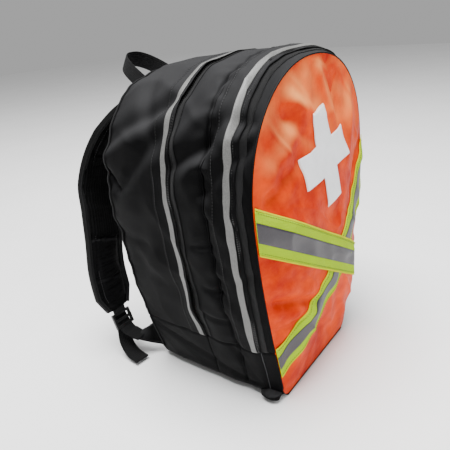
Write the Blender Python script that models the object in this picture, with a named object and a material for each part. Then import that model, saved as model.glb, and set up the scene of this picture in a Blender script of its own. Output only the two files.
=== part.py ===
"""Trauma backpack: a two-compartment clamshell pack with a high-visibility front.

Metres, +Z up, front towards -Y, wearer's back towards +Y. The origin is the centre of the
bounding box at floor level. Depths are measured along +Y from the main zip's strip.
"""

import math

import bmesh
import bpy
import numpy as np
from mathutils import Vector

# ---- driving dimensions ------------------------------------------------------------------
ORIGIN_DEPTH = 0.0319          # depth of the object's origin
HALF_WIDTH = 0.168             # widest half-width of the pack
BASE_HALF_WIDTH = 0.111        # half-width where the sides meet the base
WIDEST_Z = 0.2945              # height of the widest place
SIDE_FOOT_Z = 0.0124           # height where the side curve starts
BASE_SEAM_Z = 0.091            # seam between the sides and the base
SHELL_BOTTOM_Z = 0.0036        # underside of the shells, above the base board
CORNER_RADIUS = 0.018          # rounding of the bottom edges
WALL = 0.0036                  # padded wall thickness
GAP = 0.0004                   # clearance between touching pieces

# depth, width scale, top height, upper roundness, lower roundness
STATIONS = (
    (-0.1090, 0.917, 0.4475, 2.204, 1.390),
    (-0.0846, 0.978, 0.4532, 2.494, 1.415),
    (-0.0560, 0.999, 0.4550, 2.494, 1.415),
    (0.0000, 1.000, 0.4494, 2.494, 1.415),
    (0.1026, 0.984, 0.4389, 2.494, 1.415),
    (0.1100, 0.940, 0.4310, 2.494, 1.415),
)
BACK_DEPTH = 0.1100            # outside of the back wall
BACK_EDGE_DEPTH = 0.1026       # where the gusset rounds into the back wall
CENTRE_SEAM_DEPTH = -0.0560
FRONT_SEAM_DEPTH = -0.1090
MAIN_SPLIT_DEPTH = -0.0070     # main zip line
FRONT_SPLIT_DEPTH = -0.0916    # front zip line
STRIP_WIDTH = 0.010
FLAP_WIDTH = 0.023
PIPING_RADIUS = 0.0024

PANEL_BULGE = 0.030            # how far the stuffed front panel stands out
PANEL_CENTRE_Z = 0.225
PANEL_THICKNESS = 0.0026

CROSS_X = -0.004
CROSS_Z = 0.324
CROSS_TILT = math.radians(8)     # the patch is sewn on a little crooked
CROSS_SIZE = 0.120
TAPE_WIDTH = 0.050
TAPE_SILVER = 0.021
UPPER_TAPE = ((-0.154, 0.276), (0.126, 0.117))
LOWER_TAPE = ((-0.1165, 0.072), (0.153, 0.284))

HINGE_DEPTH = -0.1220          # front bottom edge, where both compartments fold open
HINGE_Z = 0.0042
BOARD_THICKNESS = 0.0032

STRAP_TOP = Vector((0.060, 0.1235, 0.409))
STRAP_BOTTOM = Vector((0.1258, 0.1475, 0.0370))
WING_SEWN = (Vector((0.098, 0.1116, 0.010)), Vector((0.106, 0.1116, 0.066)))
WING_TIP = (Vector((0.1380, 0.1460, 0.0360)), Vector((0.1130, 0.1460, 0.0360)))
STRAP_ROUTE = (
    (0.0620, 0.1300, 0.4040),
    (0.0740, 0.1580, 0.3780),
    (0.0920, 0.1880, 0.3300),
    (0.1020, 0.2027, 0.2850),
    (0.1110, 0.1960, 0.2450),
    (0.1190, 0.1910, 0.2000),
    (0.1250, 0.1910, 0.1500),
    (0.1265, 0.1860, 0.1080),
    (0.1275, 0.1780, 0.0760),
)
WEBBING_ROUTE = (
    (0.1282, 0.1658, 0.0452),
    (0.1274, 0.1600, 0.0425),
    (0.1262, 0.1532, 0.0404),
)
TAIL_ROUTE = (
    (0.1300, 0.1712, 0.0425),
    (0.1345, 0.1650, 0.0240),
    (0.1390, 0.1480, 0.0100),
    (0.1420, 0.1240, 0.0065),
)
LOCK_CENTRE = Vector((0.1280, 0.1715, 0.0600))
LOCK_DOWN = Vector((0.02, -0.37, -0.93)).normalized()
PAD_HALF_WIDTH = 0.034
PAD_THICKNESS = 0.012
WEBBING_HALF_WIDTH = 0.0125
WEBBING_THICKNESS = 0.0016

LOOP_FOOT_X = 0.036
LOOP_FOOT = Vector((0.0, 0.1180, 0.3990))
LOOP_REACH = 0.088             # foot line to the top of the haul loop
LOOP_LEAN = math.radians(58)   # how far the loop flops back from upright

SLIDER_Z = 0.135
COLOURS = {
    "black_nylon": ((0.012, 0.012, 0.014), 0.75, 0.0),
    "black_mesh": ((0.008, 0.008, 0.009), 0.85, 0.0),
    "black_webbing": ((0.010, 0.010, 0.011), 0.65, 0.0),
    "orange_fabric": ((0.90, 0.12, 0.03), 0.50, 0.0),
    "white_patch": ((0.82, 0.84, 0.85), 0.45, 0.0),
    "lime_tape": ((0.60, 0.85, 0.02), 0.55, 0.0),
    "silver_tape": ((0.20, 0.19, 0.21), 0.35, 0.3),
    "reflective_strip": ((0.38, 0.38, 0.36), 0.40, 0.2),
    "zip_coil": ((0.015, 0.015, 0.016), 0.40, 0.0),
    "zip_metal": ((0.05, 0.05, 0.055), 0.35, 0.9),
    "black_plastic": ((0.012, 0.012, 0.012), 0.35, 0.0),
    "grey_lining": ((0.10, 0.10, 0.11), 0.80, 0.0),
    "foam_board": ((0.03, 0.03, 0.035), 0.70, 0.0),
}


# ---- scene and materials -----------------------------------------------------------------
def clear_scene():
    for old in list(bpy.data.objects):
        bpy.data.objects.remove(old, do_unlink=True)


def material(name):
    found = bpy.data.materials.get(name)
    if found:
        return found
    colour, roughness, metallic = COLOURS[name]
    made = bpy.data.materials.new(name)
    made.use_nodes = True
    shader = made.node_tree.nodes["Principled BSDF"]
    shader.inputs["Base Color"].default_value = (*colour, 1.0)
    shader.inputs["Roughness"].default_value = roughness
    shader.inputs["Metallic"].default_value = metallic
    return made


def world(x, depth, z):
    """A point from its sideways place, its depth and its height."""
    return Vector((x, depth - ORIGIN_DEPTH, z))


def add_object(name, points, faces, finish, parent=None, sharp=40):
    mesh = bpy.data.meshes.new(name)
    bm = bmesh.new()
    made = [bm.verts.new(p) for p in points]
    for face in faces:
        bm.faces.new([made[i] for i in face])
    bmesh.ops.recalc_face_normals(bm, faces=bm.faces)
    bm.to_mesh(mesh)
    bm.free()
    mesh.shade_smooth()
    mesh.set_sharp_from_angle(angle=math.radians(sharp))
    mesh.materials.append(material(finish))
    made_object = bpy.data.objects.new(name, mesh)
    bpy.context.scene.collection.objects.link(made_object)
    if parent:
        mesh.transform(parent.matrix_basis.inverted())
        made_object.parent = parent
    return made_object


def pivot(name, place, toward=None):
    """An empty on a joint's axis, its Z along it where toward is given, for the moving pieces."""
    empty = bpy.data.objects.new(name, None)
    empty.location = place
    if toward:
        empty.rotation_euler = (toward - place).to_track_quat("Z", "Y").to_euler()
    bpy.context.scene.collection.objects.link(empty)
    return empty


# ---- outlines ----------------------------------------------------------------------------
def station(depth):
    """Width scale, top height and roundnesses at a depth, between the listed stations."""
    columns = np.array(STATIONS).T
    return [float(np.interp(depth, columns[0], column)) for column in columns[1:]]


def side_x(depth, z):
    """Half-width of the pack at a depth and height, below the widest place."""
    scale, _, _, lower = station(depth)
    climb = max(0.0, (z - SIDE_FOOT_Z) / (WIDEST_Z - SIDE_FOOT_Z))
    spread = HALF_WIDTH - BASE_HALF_WIDTH
    return scale * (BASE_HALF_WIDTH + spread * (1 - (1 - climb) ** lower))


def half_outline(depth):
    """Points (x, z) from the middle of the bottom, up one side, to the middle of the top."""
    scale, top, upper, _ = station(depth)
    foot_z = SHELL_BOTTOM_Z + CORNER_RADIUS
    foot_x = side_x(depth, foot_z)
    flat = foot_x - CORNER_RADIUS
    points = [(flat * share, SHELL_BOTTOM_Z) for share in (0.0, 0.5)]
    for step in range(4):
        angle = math.radians(90 * step / 4)
        points.append((flat + CORNER_RADIUS * math.sin(angle),
                       foot_z - CORNER_RADIUS * math.cos(angle)))
    points += [(side_x(depth, z), z) for z in np.linspace(foot_z, BASE_SEAM_Z, 4)[:-1]]
    points += [(side_x(depth, z), z) for z in np.linspace(BASE_SEAM_Z, WIDEST_Z, 7)[:-1]]
    for angle in np.radians(np.linspace(0, 90, 12)):
        x = scale * HALF_WIDTH * max(math.cos(angle), 0.0) ** (2 / upper)
        points.append((x, WIDEST_Z + (top - WIDEST_Z) * math.sin(angle) ** (2 / upper)))
    return points


FOOT_INDEX = 6                 # outline point above the bottom corner, on the +X side
SEAM_INDEX = 9                 # outline point on the base seam, on the +X side


def outline(depth, outward=0.0):
    """The whole closed loop, anticlockwise seen from the front, moved outward by a distance."""
    half = half_outline(depth)
    loop = np.array(half + [(-x, z) for x, z in half[-2:0:-1]])
    along = np.roll(loop, -1, 0) - np.roll(loop, 1, 0)
    along /= np.linalg.norm(along, axis=1)[:, None]
    return loop + outward * np.stack([along[:, 1], -along[:, 0]], 1)


LOOP_COUNT = len(outline(0.0))


def ring(depth, outward=0.0):
    return [world(x, depth, z) for x, z in outline(depth, outward)]


# ---- mesh builders -----------------------------------------------------------------------
def loft(name, rings, finish, closed=False, **options):
    """Skins rings of equal count. An open loft is capped at both ends."""
    count = len(rings[0])
    points = [p for one in rings for p in one]
    pairs = list(zip(range(len(rings)), range(1, len(rings))))
    if closed:
        pairs.append((len(rings) - 1, 0))
    faces = []
    for a, b in pairs:
        for i in range(count):
            j = (i + 1) % count
            faces.append((a * count + i, a * count + j, b * count + j, b * count + i))
    if not closed:
        faces.append(tuple(range(count)))
        faces.append(tuple(range((len(rings) - 1) * count, len(rings) * count)))
    return add_object(name, points, faces, finish, **options)


def tray(name, depths, floor_depth, finish, **options):
    """A shell open at its first depth, with a flat wall at floor_depth."""
    inner_floor = floor_depth - math.copysign(WALL, floor_depth - depths[0])
    outer = [ring(d) for d in depths] + [ring(floor_depth, 0.0)]
    inner = [ring(d, -WALL) for d in depths[:-1]]
    inner.append([world(p[0], inner_floor, p[1]) for p in outline(depths[-1], -WALL - 0.003)])
    return loft(name, inner[::-1] + outer, finish, **options)


def sleeve(name, depths, finish, wall=WALL, outward=0.0, **options):
    """A shell ring open at the front and at the back."""
    outer = [ring(d, outward) for d in depths]
    inner = [ring(d, outward - wall) for d in reversed(depths)]
    return loft(name, outer + inner, finish, closed=True, **options)


def side_band(name, depths, offsets, finish, **options):
    """A band over the sides and top, from base seam to base seam, as wide as depths say."""
    low, high = offsets
    corners = [(d, low) for d in depths] + [(d, high) for d in reversed(depths)]
    loops = [(outline(d, o), d) for d, o in corners]
    sections = []
    for i in range(SEAM_INDEX, LOOP_COUNT - SEAM_INDEX + 1):
        sections.append([world(loop[i][0], d, loop[i][1]) for loop, d in loops])
    return loft(name, sections, finish, **options)


def piping(name, depth, radius, finish, sides=6, **options):
    """A cord sewn in the seam, from above one bottom corner over the top to the other."""
    sections = []
    circle = [2 * math.pi * k / sides for k in range(sides)]
    loops = {a: outline(depth, GAP + radius * (1 + math.cos(a))) for a in circle}
    for i in range(FOOT_INDEX, LOOP_COUNT - FOOT_INDEX + 1):
        sections.append([world(loops[a][i][0], depth + radius * math.sin(a), loops[a][i][1])
                         for a in circle])
    return loft(name, sections, finish, **options)


def plate(name, points, quads, place, offsets, finish, **options):
    """A sheet with holes or corners anywhere: flat quads set at two offsets and closed."""
    low, high = offsets
    count = len(points)
    solid = [place(a, b, low) for a, b in points] + [place(a, b, high) for a, b in points]
    faces = [tuple(q) for q in quads] + [tuple(i + count for i in reversed(q)) for q in quads]
    uses = {}
    for q in quads:
        for i, j in zip(q, q[1:] + q[:1]):
            uses[frozenset((i, j))] = uses.get(frozenset((i, j)), 0) + 1
    for q in quads:
        for i, j in zip(q, q[1:] + q[:1]):
            if uses[frozenset((i, j))] == 1:
                faces.append((i, i + count, j + count, j))
    return add_object(name, solid, faces, finish, **options)


def grid_quads(columns, rows, keep=lambda c, r: True):
    """Quads of a grid whose points run row by row, leaving out the cells keep refuses."""
    quads = []
    for r in range(rows):
        for c in range(columns):
            if keep(c, r):
                a = r * (columns + 1) + c
                quads.append([a, a + 1, a + columns + 2, a + columns + 1])
    return quads


def used_only(points, quads):
    """Drops the points that no quad uses."""
    used = sorted({i for q in quads for i in q})
    new = {old: k for k, old in enumerate(used)}
    return [points[i] for i in used], [[new[i] for i in q] for q in quads]


def smooth_route(route, count):
    """Evenly spaced points on a smooth curve through the route's points."""
    knots = np.array(route, float)
    ends = np.vstack([2 * knots[0] - knots[1], knots, 2 * knots[-1] - knots[-2]])
    dense = []
    for k in range(1, len(ends) - 2):
        a, b, c, d = ends[k - 1:k + 3]
        for t in np.linspace(0, 1, 12, endpoint=False):
            dense.append(0.5 * (2 * b + (c - a) * t + (2 * a - 5 * b + 4 * c - d) * t * t
                                + (3 * b - a - 3 * c + d) * t ** 3))
    dense.append(knots[-1])
    dense = np.array(dense)
    reach = np.concatenate([[0], np.cumsum(np.linalg.norm(np.diff(dense, axis=0), axis=1))])
    marks = np.linspace(0, reach[-1], count)
    return np.stack([np.interp(marks, reach, dense[:, axis]) for axis in range(3)], 1)


def strap(name, route, count, half_width, thickness, finish, side=1, rounded=False, **options):
    """A flat strap along a route. half_width is a number or a function of the share along it."""
    points = smooth_route(route, count)
    tangents = np.gradient(points, axis=0)
    profile = [(-1, -1), (1, -1), (1, 1), (-1, 1)]
    if rounded:
        profile = [(-1, -0.35), (-0.86, -1), (0.86, -1), (1, -0.35),
                   (1, 0.35), (0.86, 1), (-0.86, 1), (-1, 0.35)]
    sections = []
    for k, (p, t) in enumerate(zip(points, tangents)):
        t = Vector(t).normalized()
        across = Vector((1, 0, 0))
        across = (across - across.dot(t) * t).normalized()
        face = t.cross(across)
        half = half_width(k / (count - 1)) if callable(half_width) else half_width
        centre = Vector(p)
        section = [centre + across * half * u + face * thickness / 2 * v for u, v in profile]
        sections.append([world(side * q.x, q.y, q.z) for q in section])
    return loft(name, sections, finish, **options)


def box(name, low, high, finish, **options):
    corners = [world(x, y, z) for z in (low[2], high[2]) for y in (low[1], high[1])
               for x in (low[0], high[0])]
    faces = [(0, 1, 3, 2), (4, 5, 7, 6), (0, 1, 5, 4), (2, 3, 7, 6), (0, 2, 6, 4), (1, 3, 7, 5)]
    return add_object(name, corners, faces, finish, **options)


# ---- front panel surface -----------------------------------------------------------------
def radial_share(x, z):
    """How far a point is from the panel's centre, as a share of the way to the seam."""
    loop = outline(FRONT_SEAM_DEPTH)
    target = np.array([x, z - PANEL_CENTRE_Z])
    if np.linalg.norm(target) < 1e-9:
        return 0.0
    best = 0.0
    for a, b in zip(loop, np.roll(loop, -1, 0)):
        a = a - (0, PANEL_CENTRE_Z)
        edge = b - (0, PANEL_CENTRE_Z) - a
        normal = np.array([edge[1], -edge[0]])
        reach = normal @ a
        if reach > 1e-9:
            best = max(best, (normal @ target) / reach)
    return float(best)


def panel_depth(x, z, share=None):
    """Depth of the front panel's outer face."""
    share = radial_share(x, z) if share is None else share
    top = STATIONS[0][2]
    skew = min(max(z / top, 0.0), 1.0) ** 0.716
    crown = max(math.sin(math.pi * skew), 0.0) ** 0.84
    return FRONT_SEAM_DEPTH - GAP - PANEL_BULGE * crown * (1 - min(share, 1.0) ** 2.3) ** 0.85


def on_panel(x, z, proud):
    return world(x, panel_depth(x, z) - proud, z)


def tape_mesh(ends, width, across=4, along=22, reach=0.945):
    """Points and quads of a straight tape that runs from seam to seam over the panel."""
    start, end = (np.array(p) for p in ends)
    middle, run = (start + end) / 2, (end - start) / np.linalg.norm(end - start)
    side = np.array([-run[1], run[0]])
    points = []
    for row in range(across + 1):
        origin = middle + side * width * (row / across - 0.5)
        limits = []
        for sign in (-1, 1):
            low, high = 0.0, 0.25
            for _ in range(24):
                mid = (low + high) / 2
                inside = radial_share(*(origin + sign * mid * run)) < reach
                low, high = (mid, high) if inside else (low, mid)
            limits.append(sign * low)
        points += [tuple(origin + run * s) for s in np.linspace(*limits, along + 1)]
    return points, grid_quads(along, across)


# ---- the rear section --------------------------------------------------------------------
def make_rear_section():
    rear_depths = [MAIN_SPLIT_DEPTH + GAP / 2, 0.030, 0.070, BACK_EDGE_DEPTH]
    tray("rear_shell", rear_depths, BACK_DEPTH, "black_nylon")
    front = FRONT_SEAM_DEPTH - 0.010
    board = [(x, d) for d, half in ((front, 0.094), (front + 0.012, 0.100), (0.090, 0.100),
                                    (0.100, 0.092)) for x in (-half, half)]
    plate("base_board", board, grid_quads(1, 3), lambda x, d, z: world(x, d, z),
          (0.0, BOARD_THICKNESS), "black_nylon")
    box("bottom_binding", (-0.088, front - 0.0050, 0.0003), (0.088, front - GAP, 0.0030),
        "black_webbing")
    inside_back = BACK_DEPTH - WALL - GAP
    sheet = [(x * half, z) for z, half in ((0.040, 0.098), (0.120, 0.118), (0.300, 0.130),
                                           (0.380, 0.105)) for x in (-1, 1)]
    plate("frame_sheet", sheet, grid_quads(1, 3), lambda x, z, d: world(x, d, z),
          (inside_back - 0.0030, inside_back), "foam_board")
    for place, z in (("lower", 0.150), ("upper", 0.270)):
        depth = inside_back - 0.0030 - GAP
        box(f"elastic_band_{place}", (-0.105, depth - 0.0014, z), (0.105, depth, z + 0.040),
            "black_webbing")
    strip_front = -STRIP_WIDTH / 2
    side_band("main_zip_tape_rear", (MAIN_SPLIT_DEPTH + GAP, 0.008), (GAP, 0.0010), "zip_coil")
    side_band("main_zip_flap", (strip_front, strip_front + FLAP_WIDTH), (0.0014, 0.0026),
              "black_nylon")
    side_band("main_reflective_strip", (strip_front, -strip_front), (0.0030, 0.0036),
              "reflective_strip")
    piping("back_edge_piping", BACK_EDGE_DEPTH - 0.004, PIPING_RADIUS, "black_webbing")


def back_pad(name, x_low, x_high, z_low, z_high):
    """A soft block on the back wall with rounded edges."""
    def rim(inset, depth):
        corner = 0.016
        points = []
        for cx, cz, start in ((x_high - corner, z_high - corner, 0),
                              (x_low + corner, z_high - corner, 90),
                              (x_low + corner, z_low + corner, 180),
                              (x_high - corner, z_low + corner, 270)):
            for turn in (0, 30, 60, 90):
                angle = math.radians(start + turn)
                radius = corner - inset
                points.append(world(cx + radius * math.cos(angle), depth,
                                    cz + radius * math.sin(angle)))
        return points
    start = BACK_DEPTH + GAP
    loft(name, [rim(0, start), rim(0, start + 0.005), rim(0.004, start + 0.010)], "black_mesh")


def wing_tab(name, sign):
    """Nylon sewn upright to the back's edge and turned flat where the webbing starts."""
    sections = []
    for share in (0, 0.25, 0.5, 0.75, 1):
        low, high = (a.lerp(b, share) for a, b in zip(WING_SEWN, WING_TIP))
        run = WING_TIP[0] + WING_TIP[1] - WING_SEWN[0] - WING_SEWN[1]
        face = run.cross(high - low).normalized() * 0.0012
        corners = (low - face, high - face, high + face, low + face)
        sections.append([world(sign * q.x, q.y, q.z) for q in corners])
    loft(name, sections, "black_nylon")


def make_back():
    for side, sign in (("left", -1), ("right", 1)):
        low, high = sorted((sign * 0.018, sign * 0.108))
        back_pad(f"back_pad_{side}", low, high, 0.118, 0.352)
    back_pad("lumbar_pad", -0.074, 0.074, 0.046, 0.108)
    start = BACK_DEPTH + GAP
    box("strap_yoke", (-0.095, start, 0.366), (0.095, start + 0.003, 0.396), "black_nylon")
    for side, sign in (("left", -1), ("right", 1)):
        wing_tab(f"wing_tab_{side}", sign)
        box_low, box_high = sorted((sign * 0.046, sign * 0.074))
        box(f"strap_anchor_{side}", (box_low, start, 0.4005), (box_high, start + 0.0045, 0.416),
            "black_webbing")


def make_haul_loop():
    box("haul_loop_anchor", (-0.042, BACK_DEPTH + GAP, 0.3966),
        (0.042, BACK_DEPTH + GAP + 0.0014, 0.4046), "black_webbing")
    holder = pivot("haul_loop_axis", world(*LOOP_FOOT))
    up = Vector((0, math.sin(LOOP_LEAN), math.cos(LOOP_LEAN)))
    outward = Vector((0, math.cos(LOOP_LEAN), -math.sin(LOOP_LEAN)))
    sections = []
    bends = 14
    for k in range(bends + 1):
        angle = math.pi * k / bends
        x = LOOP_FOOT_X * math.copysign(abs(math.cos(angle)) ** 0.75, math.cos(angle))
        rise = 0.003 + LOOP_REACH * abs(math.sin(angle)) ** 0.85
        centre = LOOP_FOOT + Vector((x, 0, 0)) + up * rise
        tangent = Vector((-math.sin(angle), 0, 0)) + up * math.cos(angle) * 1.6
        normal = tangent.normalized().cross(outward).normalized()
        section = [centre + outward * WEBBING_HALF_WIDTH * u + normal * 0.0011 * v
                   for u, v in ((-1, -1), (1, -1), (1, 1), (-1, 1))]
        sections.append([world(*q) for q in section])
    loft("haul_loop", sections, "black_webbing", parent=holder)


# ---- the middle section ------------------------------------------------------------------
def make_middle_section():
    holder = pivot("main_compartment_axis", world(0, HINGE_DEPTH, HINGE_Z))
    front_edge, back_edge = FRONT_SPLIT_DEPTH + GAP / 2, MAIN_SPLIT_DEPTH - GAP / 2
    sleeve("middle_shell", [front_edge, -0.075, CENTRE_SEAM_DEPTH, -0.030, back_edge],
           "black_nylon", parent=holder)
    divider = [ring(CENTRE_SEAM_DEPTH + half, -WALL - GAP * 2) for half in (-0.0015, 0.0015)]
    loft("divider_wall", divider, "grey_lining", parent=holder)
    face = CENTRE_SEAM_DEPTH + 0.0015 + GAP
    box("divider_pocket", (-0.112, face, 0.100), (0.112, face + 0.0012, 0.240), "black_mesh",
        parent=holder)
    box("divider_pocket_hem", (-0.112, face, 0.240 + GAP), (0.112, face + 0.0030, 0.262),
        "black_webbing", parent=holder)
    box("instrument_loops", (-0.110, CENTRE_SEAM_DEPTH - 0.0015 - GAP - 0.0030, 0.250),
        (0.110, CENTRE_SEAM_DEPTH - 0.0015 - GAP, 0.290), "black_webbing", parent=holder)
    side_band("main_zip_tape_front", (MAIN_SPLIT_DEPTH - 0.0105, MAIN_SPLIT_DEPTH - GAP),
              (GAP, 0.0010), "zip_coil", parent=holder)
    bend = STATIONS[1][0]
    strip_front = bend - STRIP_WIDTH / 2
    side_band("front_zip_tape_rear", (FRONT_SPLIT_DEPTH + GAP, bend - GAP),
              (GAP, 0.0010), "zip_coil", parent=holder)
    side_band("front_zip_flap", (strip_front, bend, strip_front + FLAP_WIDTH),
              (0.0014, 0.0026), "black_nylon", parent=holder)
    side_band("front_reflective_strip", (strip_front, bend, strip_front + STRIP_WIDTH),
              (0.0030, 0.0036), "reflective_strip", parent=holder)
    piping("centre_seam_piping", CENTRE_SEAM_DEPTH, PIPING_RADIUS, "black_nylon", parent=holder)


# ---- the front lid -----------------------------------------------------------------------
def make_front_panel(holder):
    shares = (1.0, 0.94, 0.84, 0.70, 0.52, 0.32, 0.14)
    rim = outline(FRONT_SEAM_DEPTH)
    centre = np.array([0.0, PANEL_CENTRE_Z])

    def sheet(extra):
        rings = []
        for share in shares:
            scaled = centre + (rim - centre) * share
            rings.append([world(x, panel_depth(x, z, share) + extra, z) for x, z in scaled])
        return rings
    outer = sheet(0.0)
    inner = sheet(PANEL_THICKNESS)
    rim_in = centre + (rim - centre) * 0.975
    inner[0] = [world(x, FRONT_SEAM_DEPTH - GAP, z) for x, z in rim_in]
    inner = [inner[0]] + [
        [Vector((p.x, min(p.y, FRONT_SEAM_DEPTH - GAP - ORIGIN_DEPTH - 0.0002), p.z)) for p in one]
        for one in inner[1:]]
    loft("front_panel", outer[::-1] + inner, "orange_fabric", parent=holder)


def make_cross(holder):
    third = CROSS_SIZE / 3
    steps = 3
    cells = 3 * steps
    marks = [third * (k / steps - 1.5) for k in range(cells + 1)]
    cosine, sine = math.cos(CROSS_TILT), math.sin(CROSS_TILT)
    points = [(CROSS_X + x * cosine - z * sine, CROSS_Z + x * sine + z * cosine)
              for z in marks for x in marks]
    quads = grid_quads(cells, cells,
                       lambda c, r: steps <= c < 2 * steps or steps <= r < 2 * steps)
    points, quads = used_only(points, quads)
    plate("cross_patch", points, quads, on_panel, (0.0014, 0.0021), "white_patch", parent=holder)


def make_tapes(holder):
    for place, ends, base in (("lower", LOWER_TAPE, 0.0020), ("upper", UPPER_TAPE, 0.0046)):
        points, quads = tape_mesh(ends, TAPE_WIDTH)
        plate(f"hivis_tape_{place}", points, quads, on_panel, (base, base + 0.0007),
              "lime_tape", parent=holder)
        points, quads = tape_mesh(ends, TAPE_SILVER, across=2)
        plate(f"hivis_tape_{place}_centre", points, quads, on_panel,
              (base + 0.0012, base + 0.0017), "silver_tape", parent=holder)


def make_front_lid():
    holder = pivot("front_compartment_axis", world(0, HINGE_DEPTH, HINGE_Z))
    back_edge = FRONT_SPLIT_DEPTH - GAP / 2
    sleeve("front_gusset", [FRONT_SEAM_DEPTH + GAP / 2, back_edge], "black_nylon", parent=holder)
    make_front_panel(holder)
    make_cross(holder)
    make_tapes(holder)
    side_band("front_zip_tape_front", (FRONT_SPLIT_DEPTH - 0.0105, FRONT_SPLIT_DEPTH - GAP),
              (GAP, 0.0010), "zip_coil", parent=holder)
    piping("front_seam_piping", FRONT_SEAM_DEPTH, PIPING_RADIUS * 0.8, "black_nylon",
           parent=holder)
    pocket_depth = FRONT_SEAM_DEPTH + 0.0040
    box("lid_mesh_pocket", (-0.108, pocket_depth, 0.080), (0.108, pocket_depth + 0.0012, 0.230),
        "black_mesh", parent=holder)
    box("lid_pocket_hem", (-0.108, pocket_depth, 0.230 + GAP),
        (0.108, pocket_depth + 0.0026, 0.250), "black_webbing", parent=holder)


# ---- zip sliders -------------------------------------------------------------------------
def make_slider(kind, split):
    """A slider on the +X side, just in front of the flap, with its pull tab hanging."""
    depth = split - 0.0058
    low_z, high_z = SLIDER_Z - 0.006, SLIDER_Z + 0.006
    slope = side_x(depth, high_z) - side_x(depth, low_z)
    face = side_x(depth, SLIDER_Z) + 0.0026
    carrier = pivot(f"{kind}_slider_axis", world(face, depth, SLIDER_Z))
    sections = []
    for z, grow in ((low_z, 0.0), (low_z + 0.002, 0.5), (SLIDER_Z, 1.0), (high_z - 0.002, 0.6),
                    (high_z, 0.1)):
        x = face + slope * (z - SLIDER_Z) / (high_z - low_z)
        height = 0.0016 + 0.0012 * grow
        half = 0.0026 + 0.0012 * grow
        sections.append([world(x, depth - half, z), world(x, depth + half, z),
                         world(x + height, depth + half * 0.8, z),
                         world(x + height, depth - half * 0.8, z)])
    loft(f"{kind}_zip_slider", sections, "zip_metal", parent=carrier)
    hang_x, top_z = face + 0.0058, SLIDER_Z + 0.001
    tab = pivot(f"{kind}_pull_axis", world(hang_x, depth, top_z))
    marks_d = [depth + s for s in (-0.0045, -0.0018, 0.0018, 0.0045)]
    marks_z = [top_z - s for s in (-0.0016, 0.0015, 0.0260, 0.0290, 0.0335, 0.0360)]
    points = [(d, z) for z in marks_z for d in marks_d]
    quads = grid_quads(3, 5, lambda c, r: not (c == 1 and r == 3))
    plate(f"{kind}_zip_pull", points, quads, lambda d, z, x: world(x, d, z),
          (hang_x - 0.0008, hang_x + 0.0008), "zip_metal", parent=tab)


# ---- shoulder straps ---------------------------------------------------------------------
def pad_half_width(share):
    """Narrow where it is sewn on, full width along the shoulder, cut back at the buckle."""
    top = min(1.0, 0.40 + share * 3.0)
    end = min(1.0, 0.60 + (1 - share) * 5.0)
    return PAD_HALF_WIDTH * min(top, end)


def make_ladder_lock(name, side, parent):
    """A flat frame with two slots: one holds the pad's end loop, one grips the webbing."""
    half, long_half = 0.0175, 0.0125
    marks_x = (-half, -0.0135, 0.0135, half)
    marks_s = (-long_half, -0.0085, -0.0020, 0.0020, 0.0085, long_half)
    across = Vector((1, 0, 0))
    across = (across - across.dot(LOCK_DOWN) * LOCK_DOWN).normalized()
    face = across.cross(LOCK_DOWN)
    points = [(x, s) for s in marks_s for x in marks_x]
    quads = grid_quads(3, 5, lambda c, r: not (c == 1 and r in (1, 3)))

    def place(x, s, proud):
        q = LOCK_CENTRE + across * x + LOCK_DOWN * s + face * proud
        return world(side * q.x, q.y, q.z)
    plate(name, points, quads, place, (-0.0020, 0.0020), "black_plastic", parent=parent)


def make_strap(name, side):
    top, bottom = (world(side * p.x, p.y, p.z) for p in (STRAP_TOP, STRAP_BOTTOM))
    holder = pivot(f"shoulder_strap_{name}_axis", top, bottom)
    strap(f"strap_pad_{name}", STRAP_ROUTE, 15, pad_half_width, PAD_THICKNESS, "black_mesh",
          side=side, rounded=True, parent=holder)
    make_ladder_lock(f"ladder_lock_{name}", side, holder)
    strap(f"strap_webbing_{name}", WEBBING_ROUTE, 10, WEBBING_HALF_WIDTH, WEBBING_THICKNESS,
          "black_webbing", side=side, parent=holder)
    strap(f"strap_tail_{name}", TAIL_ROUTE, 8, WEBBING_HALF_WIDTH, WEBBING_THICKNESS,
          "black_webbing", side=side, parent=holder)


clear_scene()
make_rear_section()
make_back()
make_haul_loop()
make_middle_section()
make_front_lid()
make_slider("main", MAIN_SPLIT_DEPTH)
make_slider("front", FRONT_SPLIT_DEPTH)
make_strap("left", -1)
make_strap("right", 1)
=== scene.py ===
"""Looks of the trauma backpack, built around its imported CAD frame."""
import math

import bmesh
import bpy
import numpy as np
from mathutils import Matrix, Vector, noise


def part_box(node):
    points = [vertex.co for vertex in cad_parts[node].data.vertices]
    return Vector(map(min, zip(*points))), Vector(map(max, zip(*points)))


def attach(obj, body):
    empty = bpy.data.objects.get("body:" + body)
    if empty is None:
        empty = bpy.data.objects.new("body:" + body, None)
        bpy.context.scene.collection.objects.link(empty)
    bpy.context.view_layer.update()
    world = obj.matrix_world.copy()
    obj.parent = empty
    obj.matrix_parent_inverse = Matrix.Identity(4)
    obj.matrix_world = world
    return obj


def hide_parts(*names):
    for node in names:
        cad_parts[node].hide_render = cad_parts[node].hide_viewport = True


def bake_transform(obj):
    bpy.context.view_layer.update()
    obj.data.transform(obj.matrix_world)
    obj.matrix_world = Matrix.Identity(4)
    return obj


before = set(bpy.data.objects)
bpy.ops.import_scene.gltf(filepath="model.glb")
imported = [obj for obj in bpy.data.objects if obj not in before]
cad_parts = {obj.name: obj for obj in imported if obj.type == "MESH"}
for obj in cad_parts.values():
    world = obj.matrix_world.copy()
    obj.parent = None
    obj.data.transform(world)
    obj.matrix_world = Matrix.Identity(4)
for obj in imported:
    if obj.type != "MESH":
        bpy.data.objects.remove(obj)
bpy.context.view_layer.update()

# ---- the pack's outline, in metres; depths are measured along +Y from the main strip -------
ORIGIN_DEPTH = 0.0319
HALF_WIDTH = 0.168
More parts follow.
